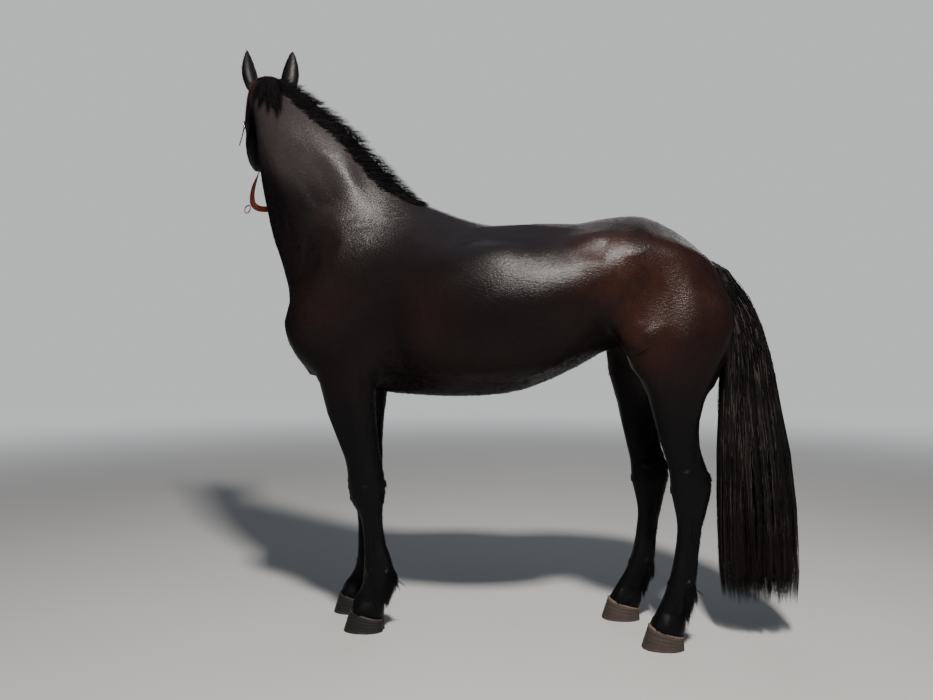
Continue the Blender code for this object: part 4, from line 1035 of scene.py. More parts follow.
def add_eyes(material):
    """Each eye is a globe with a fuller cornea and a tear corner towards the nose."""
    for name, side in SIDES.items():
        centre, out, fore, up = eye_axes(side)
        points, faces = ball(np.zeros(3), (1.0, 1.0, 1.0))
        across, above, front = points @ fore, points @ up, points @ out
        spread = np.hypot(across, above)
        ring = np.where(front > 0, spread, 2.0 - spread)
        bulge = 0.035 * soft(0.72, 0.45, ring) - 0.035
        globe = points * (EYE_RADIUS * (1.0 + bulge))[:, None]
        tear = ball((fore * 0.74 + out * 0.66) * EYE_RADIUS - up * 0.001, (0.0042, 0.0034, 0.0034))
        places, corners = joined([(globe, faces), tear])
        mesh = mesh_from("eye_globe_" + name, places + centre, corners)
        pupil = soft(1.25, 0.85, np.hypot(across / 0.26, above / 0.13)) * (front > 0)
        rest = np.zeros(len(tear[0]))
        store(mesh, "ring", np.concatenate([ring, rest + 0.9]))
        store(mesh, "turn", np.concatenate([np.arctan2(above, across), rest]))
        store(mesh, "pupil", np.concatenate([pupil, rest]))
        piece("eye_globe_" + name, mesh, material, "eye", ("eye_" + name,))


# ----------------------------------------------------------------- hooves
HOOF_TOE_HEIGHT = 0.08
HOOF_HEEL_HEIGHT = 0.043
HOOF_SPREAD = 0.026
HOOF_SIDE_SPREAD = 0.009
HOOF_HEEL_SPREAD = 0.004
HOOF_RING_DEPTH = 0.0006
HOOF_ROWS = 33                  # rings of corners from the coronet to the ground
# Front, back, sideways place and half width of each pair at the coronet.
HOOVES = {"fore": (-0.537, -0.41, 0.102, 0.051), "hind": (0.546, 0.668, 0.15, 0.049)}


def hoof_finish(name, deep, pale, band):
    """Horn with level growth rings, fine upright grain and a pale band at the coronet."""
    finish = Finish(name)
    level = finish.painted("level")
    rings = finish.noise(finish.stretched((6.0, 6.0, 190.0)), 1.0, 2.0)
    grain = finish.noise(finish.stretched((420.0, 420.0, 18.0)), 1.0, 3.0, 0.6)
    worn = finish.noise(finish.place(), 38.0, 4.0, 0.65)
    dust = finish.step(level, 0.8, 1.02) * finish.step(worn, 0.35, 0.65)
    shade = finish.mixed(finish.step(rings * 0.4 + grain * 0.6, 0.26, 0.74), deep, pale)
    shade = finish.mixed(finish.step(level + 0.08 * worn, 0.21, 0.14) * 0.8, shade, band)
    shade = finish.mixed(dust * 0.2, shade, (0.14, 0.11, 0.09))
    finish.feed({"Base Color": shade, "Roughness": 0.48 + 0.3 * worn, "Specular IOR Level": 0.22})
    finish.bumped(rings * 0.5 + grain * 0.5, 0.001, 0.5)
    return finish.material


def hoof_outline(pair, share, turn):
    """Places round the hoof from the coronet, nought, to the ground, one."""
    front, back, _, half_width = HOOVES[pair]
    half = (back - front) / 2.0 + (HOOF_SPREAD + HOOF_HEEL_SPREAD) * share * 0.5
    middle = (back + front) / 2.0 + (HOOF_HEEL_SPREAD - HOOF_SPREAD) * 0.5 * share
    run = np.sign(np.cos(turn)) * np.abs(np.cos(turn)) ** 0.86
    off = np.sign(np.sin(turn)) * np.abs(np.sin(turn)) ** 0.86
    quarter = 1.0 - 0.05 * soft(0.2, 0.9, run)
    return off * (half_width + HOOF_SIDE_SPREAD * share) * quarter, middle + run * half


def add_hoof(pair, name, side, material):
    front, back, place, _ = HOOVES[pair]
    shift = stagger_of(pair, side, 0.06)
    shares = np.concatenate([np.linspace(0.0, 1.0, HOOF_ROWS), np.ones(4)])
    inset = np.concatenate([np.zeros(HOOF_ROWS), [0.05, 0.1, 0.16, 0.8]])
    turn = np.linspace(0.0, 2.0 * math.pi, 96, endpoint=False)
    points, levels = [], []
    for row, (share, pulled) in enumerate(zip(shares, inset)):
        across, along = hoof_outline(pair, share, turn)
        run = np.clip((back - along) / (back - front), 0.0, 1.0)
        height = (HOOF_HEEL_HEIGHT + (HOOF_TOE_HEIGHT - HOOF_HEEL_HEIGHT) * run) * (1.0 - share)
        bead = HOOF_RING_DEPTH * np.sin(share * 33.0) * (1.0 - share) * (share > 0.06)
        bead += 0.0022 * np.exp(-((share - 0.04) / 0.05) ** 2)
        cleft = np.exp(-(turn / 0.22) ** 2) + np.exp(-((turn - 2.0 * math.pi) / 0.22) ** 2)
        bevel = 0.06 * soft(0.1, 0.0, share)
        out = 1.0 - pulled + (bead - 0.006 * cleft * (1.0 - 0.3 * share)) / 0.055 - 0.022 - bevel
        middle = (along.max() + along.min()) / 2.0
        if row >= HOOF_ROWS:
            height = np.where(pulled < 0.12, 0.0, 0.006 + 0.01 * (pulled > 0.5)) * np.ones_like(turn)
        across, along = place * side + across * out, middle + (along - middle) * out + shift
        points.append(np.column_stack([across, along, height]))
        levels.append(np.full(len(turn), share))
    crown, sole = points[0].mean(0) + (0, 0, -0.006), points[-1].mean(0)
    rows, count = len(points), len(turn)
    first = np.arange(count)
    after, last = np.roll(first, -1), (rows - 1) * count
    top_fan = np.column_stack([np.full(count, rows * count), after, first])
    sole_fan = np.column_stack([np.full(count, rows * count + 1), first + last, after + last])
    places = np.vstack(points + [crown[None], sole[None]]) + ORIGIN
    faces = facing_out(places, np.vstack([split_quads(tube_quads(rows, count)), top_fan, sole_fan]))
    mesh = mesh_from("horn_" + name, places, faces)
    store(mesh, "level", np.concatenate(levels + [[0.0], [1.0]]))
    piece("horn_" + name, mesh, material, pair + "_horn", ("hoof_" + name,))


def add_hooves():
    fore = hoof_finish("horn_dark", (0.0045, 0.0044, 0.0048), (0.011, 0.01, 0.0102), (0.03, 0.025, 0.023))
    hind = hoof_finish("horn_tan", (0.022, 0.0165, 0.0138), (0.048, 0.036, 0.03), (0.095, 0.071, 0.058))
    for pair, material in (("fore", fore), ("hind", hind)):
        for name, side in SIDES.items():
            add_hoof(pair, f"{pair}_{name}", side, material)


# ----------------------------------------------------------------- halter
STRAP_WIDTH = 0.022
CHIN_WIDTH = 0.027
STRAP_THICKNESS = 0.0036
STRAP_HEIGHT = 0.0034           # middle of a strap above the coat
RING_RADIUS = 0.018
RING_WIRE = 0.0028
RING_REACH = RING_RADIUS - 0.001 # straps start this far from a ring's middle
RING_PLACE = (0.385, -0.095)
# Where the noseband rests, in degrees round the head from its left.
NOSE_ANGLES = (8, 18, 32, 50, 70, 90, 110, 130, 148, 162, 172)
# The headpiece up the left cheek: along, above, and degrees round the head.
CHEEK_PATH = (
    (0.345, -0.092, 0), (0.3, -0.097, 0), (0.255, -0.102, 0), (0.205, -0.104, 0), (0.16, -0.1, 0),
    (0.115, -0.092, 2), (0.07, -0.082, 6), (0.03, -0.074, 18), (0.002, -0.066, 38), (-0.012, -0.06, 64),
)
CHIN_RING = (-0.372, -1.12, 1.69)
CHIN_RING_GAP = 0.01
# How far each stop of the chin strap is twisted to face the direction below.
CHIN_TWIST = (0.0, 0.3, 0.45, 0.7, 0.85, 0.75, 0.45, 0.2, 0.0)
TWIST_TOWARDS = np.array([0.96, 0.1, 0.25])
CHIN_PATH = (
    (-0.386, -1.116, 1.765),
    (-0.376, -1.118, 1.715),
    (-0.376, -1.11, 1.684),
    (-0.386, -1.08, 1.668),
    (-0.415, -1.025, 1.678),
    (-0.438, -0.975, 1.722),
    (-0.448, -0.955, 1.785),
)


def leather_finish(name, deep, pale, edge):
    """Waxed leather: fine grain, darker worn edges, creases and a soft shine."""
    finish = Finish(name)
    cell = finish.make("ShaderNodeTexVoronoi", {}, {"Vector": finish.place(), "Scale": 900.0})
    cloud = finish.noise(finish.place(), 70.0, 4.0, 0.65)
    crease = finish.noise(finish.place(), 260.0, 3.0, 0.6)
    rim = finish.step(finish.painted("rim"), 0.7, 0.98)
    shade = finish.mixed(finish.step(cloud, 0.3, 0.72), deep, pale)
    shade = finish.mixed(rim, shade, edge)
    finish.feed({
        "Base Color": shade,
        "Roughness": 0.34 + 0.26 * cloud,
        "Coat Weight": 0.15,
        "Coat Roughness": 0.25,
    })
    finish.bumped(cell * 0.4 + crease * 0.6, 0.0005, 0.6)
    return finish.material


def metal_finish():
    """Plated metal with rubbed scratches and dull hollows."""
    finish = Finish("halter_metal")
    rub = finish.noise(finish.stretched((60.0, 60.0, 900.0)), 1.0, 3.0, 0.6)
    cloud = finish.noise(finish.place(), 90.0, 4.0, 0.6)
    finish.feed({
        "Base Color": finish.mixed(finish.step(cloud, 0.35, 0.7), (0.74, 0.7, 0.62), (0.46, 0.43, 0.38)),
        "Metallic": 1.0,
        "Roughness": 0.16 + 0.22 * cloud + 0.1 * rub,
    })
    finish.bumped(rub, 0.0002, 0.4)
    return finish.material


def thread_finish():
    finish = Finish("thread")
    twist = finish.noise(finish.place(), 1400.0, 2.0)
    finish.feed({"Base Color": finish.mixed(twist, (0.2, 0.09, 0.05), (0.42, 0.24, 0.15)), "Roughness": 0.7})
    finish.bumped(twist, 0.0003, 0.5)
    return finish.material


def swept(centres, outward, outline):
    """Sweep an outline of (across, outward) places along a run of centres."""
    run = unit(np.gradient(centres, axis=0))
    outward = unit(outward - run * (outward * run).sum(1)[:, None])
    across = np.cross(run, outward)
    outline = np.asarray(outline)
    sideways, lifted_by = outline[None, :, :1], outline[None, :, 1:]
    places = centres[:, None] + across[:, None] * sideways + outward[:, None] * lifted_by
    rows, count = len(centres), len(outline)
    rest = np.arange(1, count - 1)
    fan = np.column_stack([np.zeros(count - 2, int), rest, rest + 1])
    points = places.reshape(-1, 3)
    faces = np.vstack([split_quads(tube_quads(rows, count)), fan[:, ::-1], fan + (rows - 1) * count])
    return points, facing_out(points - points.mean(0), faces)


def strap_outline(width, thickness):
    """A flat strap's section with rounded edges and a slight crown."""
    half, thick = width / 2.0, thickness / 2.0
    shares = np.array([-1.0, -0.97, -0.9, -0.8, -0.45, 0.0, 0.45, 0.8, 0.9, 0.97, 1.0])
    lift = np.array([0.0, 0.55, 0.86, 0.92, 1.0, 1.06, 1.0, 0.92, 0.86, 0.55, 0.0])
    top = np.column_stack([shares * half, lift * thick])
    return np.vstack([top, top[-2:0:-1] * (1.0, -1.0)])


def stitches(centres, outward, width, thickness):
    """Two rows of short threads let into a strap's face, a little in from its edges."""
    gaps = np.linalg.norm(np.diff(centres, axis=0), axis=1)
    place = np.concatenate([[0.0], np.cumsum(gaps)])
    spots = np.arange(0.004, place[-1] - 0.004, 0.0048)
    parts = []
    run = unit(np.gradient(centres, axis=0))
    for spot in spots:
        row = np.array([np.interp(spot, place, column) for column in np.hstack([centres, outward, run]).T])
        middle, way, along = row[:3], unit(row[3:6]), unit(row[6:9])
        way = unit(way - along * (way @ along))
        side = np.cross(along, way)
        for edge in (-1.0, 1.0):
            spot_place = middle + side * (edge * width * 0.37) + way * (thickness * 0.5)
            parts.append(bead(spot_place, np.array([along, side, way]), (0.0017, 0.00055, 0.0005)))
    return joined(parts)


def bead(centre, axes, radii):
    """A small closed spindle."""
    ring = np.linspace(0.0, 2.0 * math.pi, 6, endpoint=False)
    rows = [np.column_stack([np.full(6, x), np.cos(ring) * 0.8, np.sin(ring) * 0.8]) for x in (-0.6, 0.6)]
    points = np.vstack([[[-1.0, 0.0, 0.0]], *rows, [[1.0, 0.0, 0.0]]]) * radii @ axes + centre
    faces = []
    for index in range(6):
        after = (index + 1) % 6
        faces += [(0, 1 + after, 1 + index), (1 + index, 1 + after, 7 + after),
                  (1 + index, 7 + after, 7 + index), (13, 7 + index, 7 + after)]
    return points, np.array(faces)


def wire_loop(centre, axis, radius, wire, squash=1.0, around=64, section=16, reference=UPWARD):
    """A closed ring of round wire, flattened in one direction if asked."""
    axis = unit(axis)
    first = unit(reference - axis * (reference @ axis))
    second = np.cross(axis, first)
    turn = np.linspace(0.0, 2.0 * math.pi, around, endpoint=False)[:, None, None]
    roll = np.linspace(0.0, 2.0 * math.pi, section, endpoint=False)[None, :, None]
    outward = first * np.cos(turn) * squash + second * np.sin(turn)
    middle = centre + outward * radius
    points = middle + unit(outward) * (wire * np.cos(roll)) + axis * (wire * np.sin(roll))
    points = points.reshape(-1, 3)
    faces = split_quads(tube_quads(around, section, closed=True))
    return points, facing_out(points - points.mean(0), faces)


class HeadStraps:
    """Finds places for straps on the head and makes them."""

    def __init__(self):
        points, faces, _ = flesh_nodes()
        self.tree = BVHTree.FromPolygons(points.tolist(), faces.tolist())
        self.stitching = []

    def find(self, along, above, angle, height):
        turn = math.radians(angle)
        outward = LEFT * math.cos(turn) + ABOVE * math.sin(turn)
        start = on_head(along, above, 0.0) + outward * 0.3
        spot = np.array(self.tree.ray_cast(Vector(start), Vector(-outward))[0])
        return spot + outward * height, outward

    def strap(self, name, stops, material, slot, replaces, width=STRAP_WIDTH, count=120, sewn=True):
        rows = curve([(*place, *outward) for place, outward in stops], count)
        centres, outward = rows[:, :3], unit(rows[:, 3:])
        for _ in range(3):
            centres[1:-1] = (centres[:-2] + centres[2:] + 2.0 * centres[1:-1]) / 4.0
        outline = strap_outline(width, STRAP_THICKNESS)
        points, faces = swept(centres, outward, outline)
        mesh = mesh_from(name, points, faces)
        rim = np.abs(outline[:, 0]) / (width / 2.0)
        store(mesh, "rim", np.tile(rim, count))
        piece(name, mesh, material, slot, replaces)
        if sewn:
            self.stitching.append(stitches(centres, outward, width, STRAP_THICKNESS))
        return centres, outward


def clear_of(stops, centres, gap):
    """Stops of a strap with those too near a ring moved out to its rim."""
    kept = [stop for stop in stops if min(np.linalg.norm(stop[0] - spot) for spot in centres) > gap]
    for spot, index in ((centres[0], 0), (centres[1], -1)):
        place, outward = kept[index]
        reach = np.linalg.norm(place - spot)
        end = spot + (place - spot) * (gap / reach)
        if reach > 1.3 * gap:
            kept.insert(0 if index == 0 else len(kept), (end, outward))
        else:
            kept[index] = (end, outward)
    return kept


def add_cheek_rings(straps, metal):
    """A ring on each cheek, where noseband and headpiece end. Gives the rings' middles."""
    middles = []
    for name, side in SIDES.items():
        place, outward = straps.find(*RING_PLACE, 0.0 if side > 0 else 180.0, 0.0072)
        middles.append(place)
        mesh = mesh_from("ring", *wire_loop(place, outward, RING_RADIUS, RING_WIRE))
        piece("cheek_ring_" + name, mesh, metal, "halter_metal", ("halter_ring_" + name,))
    return middles


def add_head_straps(straps, rings, leather):
    """The noseband, and the headpiece up one cheek, behind the ears and down the other."""
    along, above = RING_PLACE[0] - 0.002, RING_PLACE[1] + 0.018
    nose = [straps.find(along, above, angle, STRAP_HEIGHT) for angle in NOSE_ANGLES]
    nose = clear_of(nose, rings, RING_REACH)
    straps.strap("noseband", nose, leather, "halter_leather", ("halter_noseband",))
    cheek = curve(CHEEK_PATH, 22)
    stops = [straps.find(along, above, angle, STRAP_HEIGHT) for along, above, angle in cheek]
    stops.append(straps.find(-0.016, -0.058, 90.0, STRAP_HEIGHT))
    stops += [straps.find(along, above, 180.0 - angle, STRAP_HEIGHT) for along, above, angle in cheek[::-1]]
    stops = clear_of(stops, rings, RING_REACH)
    straps.strap("headpiece", stops, leather, "halter_leather", ("halter_crown",), count=280)


def add_buckle(straps, leather, metal):
    """A flattened loop with its bar and tongue, and the strap's free end below it."""
    place, outward = straps.find(0.165, -0.101, 0.0, STRAP_HEIGHT + STRAP_THICKNESS + 0.0022)
    facing = np.array([outward] * 3)
    bar = [place + ABOVE * 0.014 - outward * 0.001, place, place - ABOVE * 0.014 - outward * 0.001]
    tongue = [place - ALONG * 0.001, place + ALONG * 0.007 + outward * 0.0012, place + ALONG * 0.0145]
    parts = [
        wire_loop(place, outward, 0.016, 0.0022, 0.82, reference=ALONG),
        swept(np.array(bar), facing, strap_outline(0.0036, 0.0036)),
        swept(np.array(tongue), facing, strap_outline(0.0034, 0.003)),
    ]
    piece("cheek_buckle", mesh_from("buckle", *joined(parts)), metal, "halter_metal", ("halter_buckle",))
    tip = [straps.find(0.15, -0.1, 0.0, STRAP_HEIGHT + 0.004)]
    tip.append(straps.find(0.178, -0.103, 0.0, STRAP_HEIGHT + 0.0085))
    tip += [(on_head(0.21, -0.118, 0.122), LEFT), (on_head(0.243, -0.133, 0.135), LEFT)]
    straps.strap("strap_end", tip, leather, "halter_leather", ("halter_strap_end",), 0.018, 40)


def add_chin_strap(straps, rings, leather, metal):
    """The broad strap below the chin, from ring to ring, and the small ring it carries."""
    left, right = rings
    centre = (left + right) / 2.0
    spots = [horse(*spot) for spot in CHIN_PATH]
    start = left + unit(spots[0] - left) * RING_REACH
    end = right + unit(spots[-1] - right) * RING_REACH
    stops = []
    for spot, twist in zip([start, *spots, end], CHIN_TWIST):
        away = unit(spot - centre - ALONG * ((spot - centre) @ ALONG))
        stops.append((spot, unit(away * (1.0 - twist) + TWIST_TOWARDS * twist)))
    straps.strap("chin_strap", stops, leather, "chin_leather", ("halter_chin_strap",), CHIN_WIDTH, 110)
    chin = horse(*CHIN_RING)
    out = unit(chin - centre)
    spot = chin + out * (RING_RADIUS + RING_WIRE + CHIN_RING_GAP)
    mesh = mesh_from("chin_ring", *wire_loop(spot, np.cross(ALONG, out), RING_RADIUS, RING_WIRE))
    piece("chin_ring", mesh, metal, "halter_metal", ("halter_chin_ring",))


def add_halter():
    leather = leather_finish(
        "halter_leather", (0.05, 0.012, 0.007), (0.12, 0.03, 0.016), (0.03, 0.008, 0.005))
    bright = leather_finish("chin_leather", (0.34, 0.045, 0.018), (0.52, 0.085, 0.032), (0.2, 0.028, 0.014))
    metal = metal_finish()
    straps = HeadStraps()
    rings = add_cheek_rings(straps, metal)
    add_head_straps(straps, rings, leather)
    add_buckle(straps, leather, metal)
    add_chin_strap(straps, rings, bright, metal)
    sewing = mesh_from("stitching", *joined(straps.stitching))
    piece("stitching", sewing, thread_finish(), "halter_leather")




# ----------------------------------------------------------------- strands of hair
PATCH = 0.003                   # size of each strand's own patch on the coat's map
MOST_TRIANGLES = 180000         # in one piece of hair
STRAND_THICKNESS = 0.55         # as a share of a strand's width
STRAND_TIP = 0.22               # width at the tip, as a share of the full width


class Unwrap:
    """A flat map of the skin's own shape, read at any place near it."""

    def __init__(self, skin):
        mesh = skin.data.copy()
        item = shown("unwrap", mesh)
        modified(item, "DECIMATE", ratio=9000 / len(mesh.polygons))
        item.data.uv_layers.new(name="flat")
        bpy.context.view_layer.objects.active = item
        item.select_set(True)
        bpy.ops.object.mode_set(mode="EDIT")
        bpy.ops.mesh.select_all(action="SELECT")
        bpy.ops.uv.smart_project(angle_limit=1.15, island_margin=0.004, scale_to_bounds=True)
        bpy.ops.object.mode_set(mode="OBJECT")
        mesh = item.data
        self.points, self.faces = mesh_arrays(mesh)
        loops = values_of(mesh.loop_triangles, "loops", 3, np.int32)
        self.flat = values_of(mesh.uv_layers["flat"].data, "uv", 2)[loops]
        self.tree = BVHTree.FromPolygons(self.points.tolist(), self.faces.tolist())
        bpy.data.objects.remove(item, do_unlink=True)

    def read(self, places):
        """The map's place for each root."""
        found = [self.tree.find_nearest(Vector(place)) for place in places]
        spots = np.array([spot for spot, _, _, _ in found])
        index = np.array([face for _, _, face, _ in found])
        a, b, c = (self.points[self.faces[index, k]] for k in range(3))
        whole = np.linalg.norm(np.cross(b - a, c - a), axis=1) + 1e-15
        first = np.linalg.norm(np.cross(b - spots, c - spots), axis=1) / whole
        second = np.linalg.norm(np.cross(c - spots, a - spots), axis=1) / whole
        shares = np.column_stack([first, second, np.clip(1.0 - first - second, 0.0, 1.0)])
        return (self.flat[index] * shares[:, :, None]).sum(1)


def blades(paths, widths, outward):
    """Solid three-sided strands: corner places, one strand's triangles and its corners' shares."""
    count, stations, _ = paths.shape
    run = unit(np.gradient(paths, axis=1))
    across = unit(np.cross(run, outward[:, None, :] if outward.ndim == 2 else outward))
    up = np.cross(across, run)
    share = np.linspace(0.0, 1.0, stations)
    size = widths[:, None] * (0.75 + 0.25 * soft(0.0, 0.12, share))
    size = size * (1.0 - (1.0 - STRAND_TIP) * soft(0.45, 1.0, share))
    half = (size / 2.0)[:, :, None]
    corners = np.stack([paths - across * half - up * half * STRAND_THICKNESS * 0.5,
                        paths + across * half - up * half * STRAND_THICKNESS * 0.5,
                        paths + up * half * STRAND_THICKNESS], axis=2)
    points = np.concatenate([corners[:, :-1].reshape(count, -1, 3), paths[:, -1:]], axis=1)
    faces = [(0, 2, 1)]
    for row in range(stations - 2):
        base = 3 * row
        for k in range(3):
            after = (k + 1) % 3
            faces += [(base + k, base + after, base + 3 + after), (base + k, base + 3 + after, base + 3 + k)]
    base = 3 * (stations - 2)
    faces += [(base + k, base + (k + 1) % 3, base + 3) for k in range(3)]
    return points, np.array(faces)[:, ::-1], np.append(np.repeat(share[:-1], 3), 1.0)


def hair_pieces(name, paths, widths, outward, flat_roots, material, slot="long_hair", replaces=(),
                roots=None, lit_as=None):
    """Make strands, in as few pieces as keep each piece small."""
    made_points, strand_faces, shares = blades(paths, widths, outward)
    size = made_points.shape[1]
    parts = math.ceil(len(paths) * len(strand_faces) / MOST_TRIANGLES)
    order = np.arange(len(paths)) % parts
    tone = RANDOM.random(len(paths))
    for part in range(parts):
        chosen = np.nonzero(order == part)[0]
        points = made_points[chosen].reshape(-1, 3)
        faces = (strand_faces[None] + (np.arange(len(chosen)) * size)[:, None, None]).reshape(-1, 3)
        mesh = mesh_from(name, points, faces)
        store(mesh, "tone", np.repeat(tone[chosen], size))
        store(mesh, "along", np.tile(shares, len(chosen)))
        if roots is not None:
            for mark, values in markings(roots[chosen]).items():
                store(mesh, mark, np.repeat(values, size))
        if lit_as is not None:
            mesh.normals_split_custom_set_from_vertices(np.repeat(lit_as[chosen], size, axis=0).tolist())
        offset = np.column_stack([np.append(np.tile([0.0, 1.0, 0.5], (size - 1) // 3), 0.5), shares]) - 0.5
        flat = (flat_roots[chosen][:, None] + PATCH * offset[None]).reshape(-1, 2)
        layer = mesh.uv_layers.new(name="OFBake")
        layer.data.foreach_set("uv", np.ascontiguousarray(flat[faces.ravel()], np.float32).ravel())
        full = f"{name}_{part + 1}" if parts > 1 else name
        piece(full, mesh, material, slot, replaces if part == 0 else ())


def hair_finish(name, root, body, painted_glint, tip_shade, rough=0.4, shine=0.1):
    """Coarse hair: a tone for each strand, streaks along it, painted glints of light on a few strands and
    sun-faded tips.
    """
    finish = Finish(name)
    tone, along = finish.painted("tone"), finish.painted("along")
    streak = finish.noise(finish.stretched((230.0, 230.0, 16.0)), 1.0, 3.0, 0.7)
    cloud = finish.noise(finish.place(), 9.0, 3.0)
    shade = finish.mixed(finish.step(tone * 0.4 + streak * 0.6, 0.3, 0.7), root, body)
    # Painted highlight: a few strands, in clouds, are lightened to stand for glints of light on the hair.
    shade = finish.mixed(finish.step(tone, 0.8, 0.97) * finish.step(cloud, 0.3, 0.6), shade, painted_glint)
    shade = finish.mixed(finish.step(along, 0.55, 1.0) * 0.7, shade, tip_shade)
    finish.feed({
        "Base Color": shade,
        "Roughness": rough + 0.18 * streak,
        "Specular IOR Level": shine,
    })
    finish.bumped(streak, 0.0006, 0.5)
    return finish.material


def fur_finish():
    """Tufts that wear the coat's own markings."""
    finish = Finish("coat_tufts")
    finish.feed({
        "Base Color": coat_colour(finish),
        "Roughness": 0.33 + 0.1 * finish.painted("tone"),
        "Specular IOR Level": 0.14,
    })
    return finish.material


def lifted(paths, tree, clearance):
    """Push path stations that are too near the skin out to a clearance above it."""
    count, stations, _ = paths.shape
    for index in range(count):
        for station in range(1, stations):
            place = Vector(paths[index, station])
            spot, normal, _, _ = tree.find_nearest(place)
            height = (place - spot).dot(normal)
            wanted = clearance[index] * min(1.0, 2.0 * station / stations)
            if height < wanted:
                paths[index, station] = place + normal * (wanted - height)
    return paths


def bezier(controls, stations):
    """Paths through control points given as an array of (strand, control, place)."""
    t = np.linspace(0.0, 1.0, stations)[None, :, None]
    a, b, c, d = (controls[:, None, k] for k in range(4))
    return a * (1 - t) ** 3 + 3 * b * t * (1 - t) ** 2 + 3 * c * t ** 2 * (1 - t) + d * t ** 3


def neck_frame(rows):
    """Crest places, directions down the neck's side and to its left, and backwards runs."""
    here = neck_rows(rows)
    low, high = neck_rows(np.maximum(rows - 0.5, 0)), neck_rows(np.minimum(rows + 0.5, len(NECK) - 1))
    crest, throat = ORIGIN + here[:, :3], ORIGIN + here[:, 3:6]
    back = unit(low[:, :3] - high[:, :3])
    down = unit(throat - crest)
    left = unit(np.cross(-back, down))
    return crest, down, left, back, np.minimum(here[:, 6], 0.052)


def tail_locks(angle, spread):
    """The lock that each strand joins, and that lock's place across the tail."""
    locks = RANDOM.random((TAIL_LOCKS, 2))
    turn, reach = locks[:, 0] * 2.0 * math.pi, 0.3 + 0.68 * np.sqrt(locks[:, 1])
    member = RANDOM.integers(0, TAIL_LOCKS, len(angle))
    apart = np.abs(np.angle(np.exp(1j * (angle[:, None] - turn[None]))))
    closest = np.argmin(apart + 0.6 * np.abs(spread[:, None] - reach[None]), axis=1)
    member = np.where(RANDOM.random(len(angle)) < 0.8, closest, member)
    return member, (reach * np.cos(turn))[member], (reach * np.sin(turn))[member]


def tail_roots(tree, start_height, angle):
    """Roots all over the dock, those high up settled on the skin."""
    dock_y = np.interp(start_height, (0.99, 1.15, 1.3, 1.36, 1.392), (0.905, 0.885, 0.835, 0.8, 0.775))
    size = np.interp(start_height, (0.99, 1.3, 1.392), (0.012, 0.026, 0.034))
    size = size * np.sqrt(RANDOM.random(len(angle)))
    root = np.stack([np.sin(angle) * size, dock_y + np.cos(angle) * size, start_height], axis=-1)
    for index in np.nonzero(start_height > DOCK_SETTLED)[0]:
        spot, normal, _, _ = tree.find_nearest(Vector(root[index] + ORIGIN))
        root[index] = np.array(spot - normal * 0.002) - ORIGIN
    return root


def add_tail(tree, material):
    """Long strands in locks, from the dock down to a blunt end."""
    heights, front, back, half = np.array(TAIL[::-1]).T
    count, stations = 5700, 12
    drop_share = RANDOM.random(count) ** 1.25
    start_height = 1.392 - 0.4 * drop_share
    angle = RANDOM.random(count) * 2.0 * math.pi
    spread = 1.0 - 0.55 * RANDOM.random(count) ** 2.2
    member, lock_a, lock_b = tail_locks(angle, spread)
    ends = 0.116 + 0.03 * RANDOM.random(count) ** 1.6
    short = RANDOM.random(count) < 0.16
    ends = np.where(short, ends + RANDOM.random(count) * 0.75, ends)
    ends += 0.03 * (1.0 - spread) + 0.018 * RANDOM.random(TAIL_LOCKS)[member]
    t = np.linspace(0.0, 1.0, stations)[None]
    fall = 0.75 * t + 0.25 * t ** 1.6
    height = start_height[:, None] + (ends - start_height)[:, None] * fall
    gather = 0.72 * soft(0.15, 0.9, t)
    own_a, own_b = spread * np.cos(angle), spread * np.sin(angle)
    loose = RANDOM.normal(0.0, 0.035, (2, count))
    a = own_a[:, None] * (1 - gather) + (lock_a + loose[0])[:, None] * gather
    b = own_b[:, None] * (1 - gather) + (lock_b + loose[1])[:, None] * gather
    wave = RANDOM.random((4, TAIL_LOCKS))[:, member]
    own_wave = RANDOM.random((2, count))
    drift = 0.055 * np.sin(2.0 * math.pi * (wave[0][:, None] + t * (1.3 + 1.2 * wave[1][:, None]))) * t
    drift += 0.026 * np.sin(2.0 * math.pi * (own_wave[0][:, None] + t * 4.5)) * soft(0.0, 0.3, t)
    a, b = a + drift, b + 0.8 * drift * np.cos(2.0 * math.pi * wave[2])[:, None]
    size = np.maximum(np.hypot(a, b), 1e-6)
    limit = np.minimum(1.0, 0.985 / size)
    a, b = a * limit, b * limit
    level = np.interp(height, heights, 0.5 * (front + back)), np.interp(height, heights, 0.5 * (back - front))
    width = np.interp(height, heights, half)
    place = np.stack([b * width, level[0] + a * level[1], height], axis=-1)
    root = tail_roots(tree, start_height, angle)
    leave = soft(0.0, 0.17, start_height[:, None] - height)[:, :, None]
    paths = root[:, None] * (1 - leave) + place * leave
    arch = np.sin(math.pi * np.clip((start_height[:, None] - height) / 0.2, 0.0, 1.0)) * 0.012
    paths[:, :, 1] += arch * np.cos(angle)[:, None]
    paths[:, :, 0] += arch * np.sin(angle)[:, None]
    paths = paths + ORIGIN
    outward = np.stack([b, a, np.zeros_like(a)], axis=-1)
    flat = np.column_stack([(angle / (2.0 * math.pi)) * 0.96 + 0.02, 0.02 + 0.96 * drop_share])
    widths = 0.0016 + 0.0015 * RANDOM.random(count)
    hair_pieces("tail_hair", paths, widths, outward, flat, material, replaces=("tail",))


TAIL_LOCKS = 230
DOCK_SETTLED = 1.27             # roots above this height sit on the skin
# Tail: height, front edge, back edge, half width.
TAIL = (
    (1.4, 0.7, 0.79, 0.022),
    (1.385, 0.725, 0.822, 0.034),
    (1.34, 0.76, 0.862, 0.042),
    (1.26, 0.8, 0.905, 0.05),
    (1.15, 0.835, 0.952, 0.058),
    (1.02, 0.826, 0.99, 0.066),
    (0.86, 0.812, 1.026, 0.074),
    (0.67, 0.804, 1.064, 0.082),
    (0.48, 0.804, 1.086, 0.086),
    (0.3, 0.808, 1.094, 0.086),
    (0.19, 0.812, 1.096, 0.082),
    (0.115, 0.822, 1.09, 0.074),
)


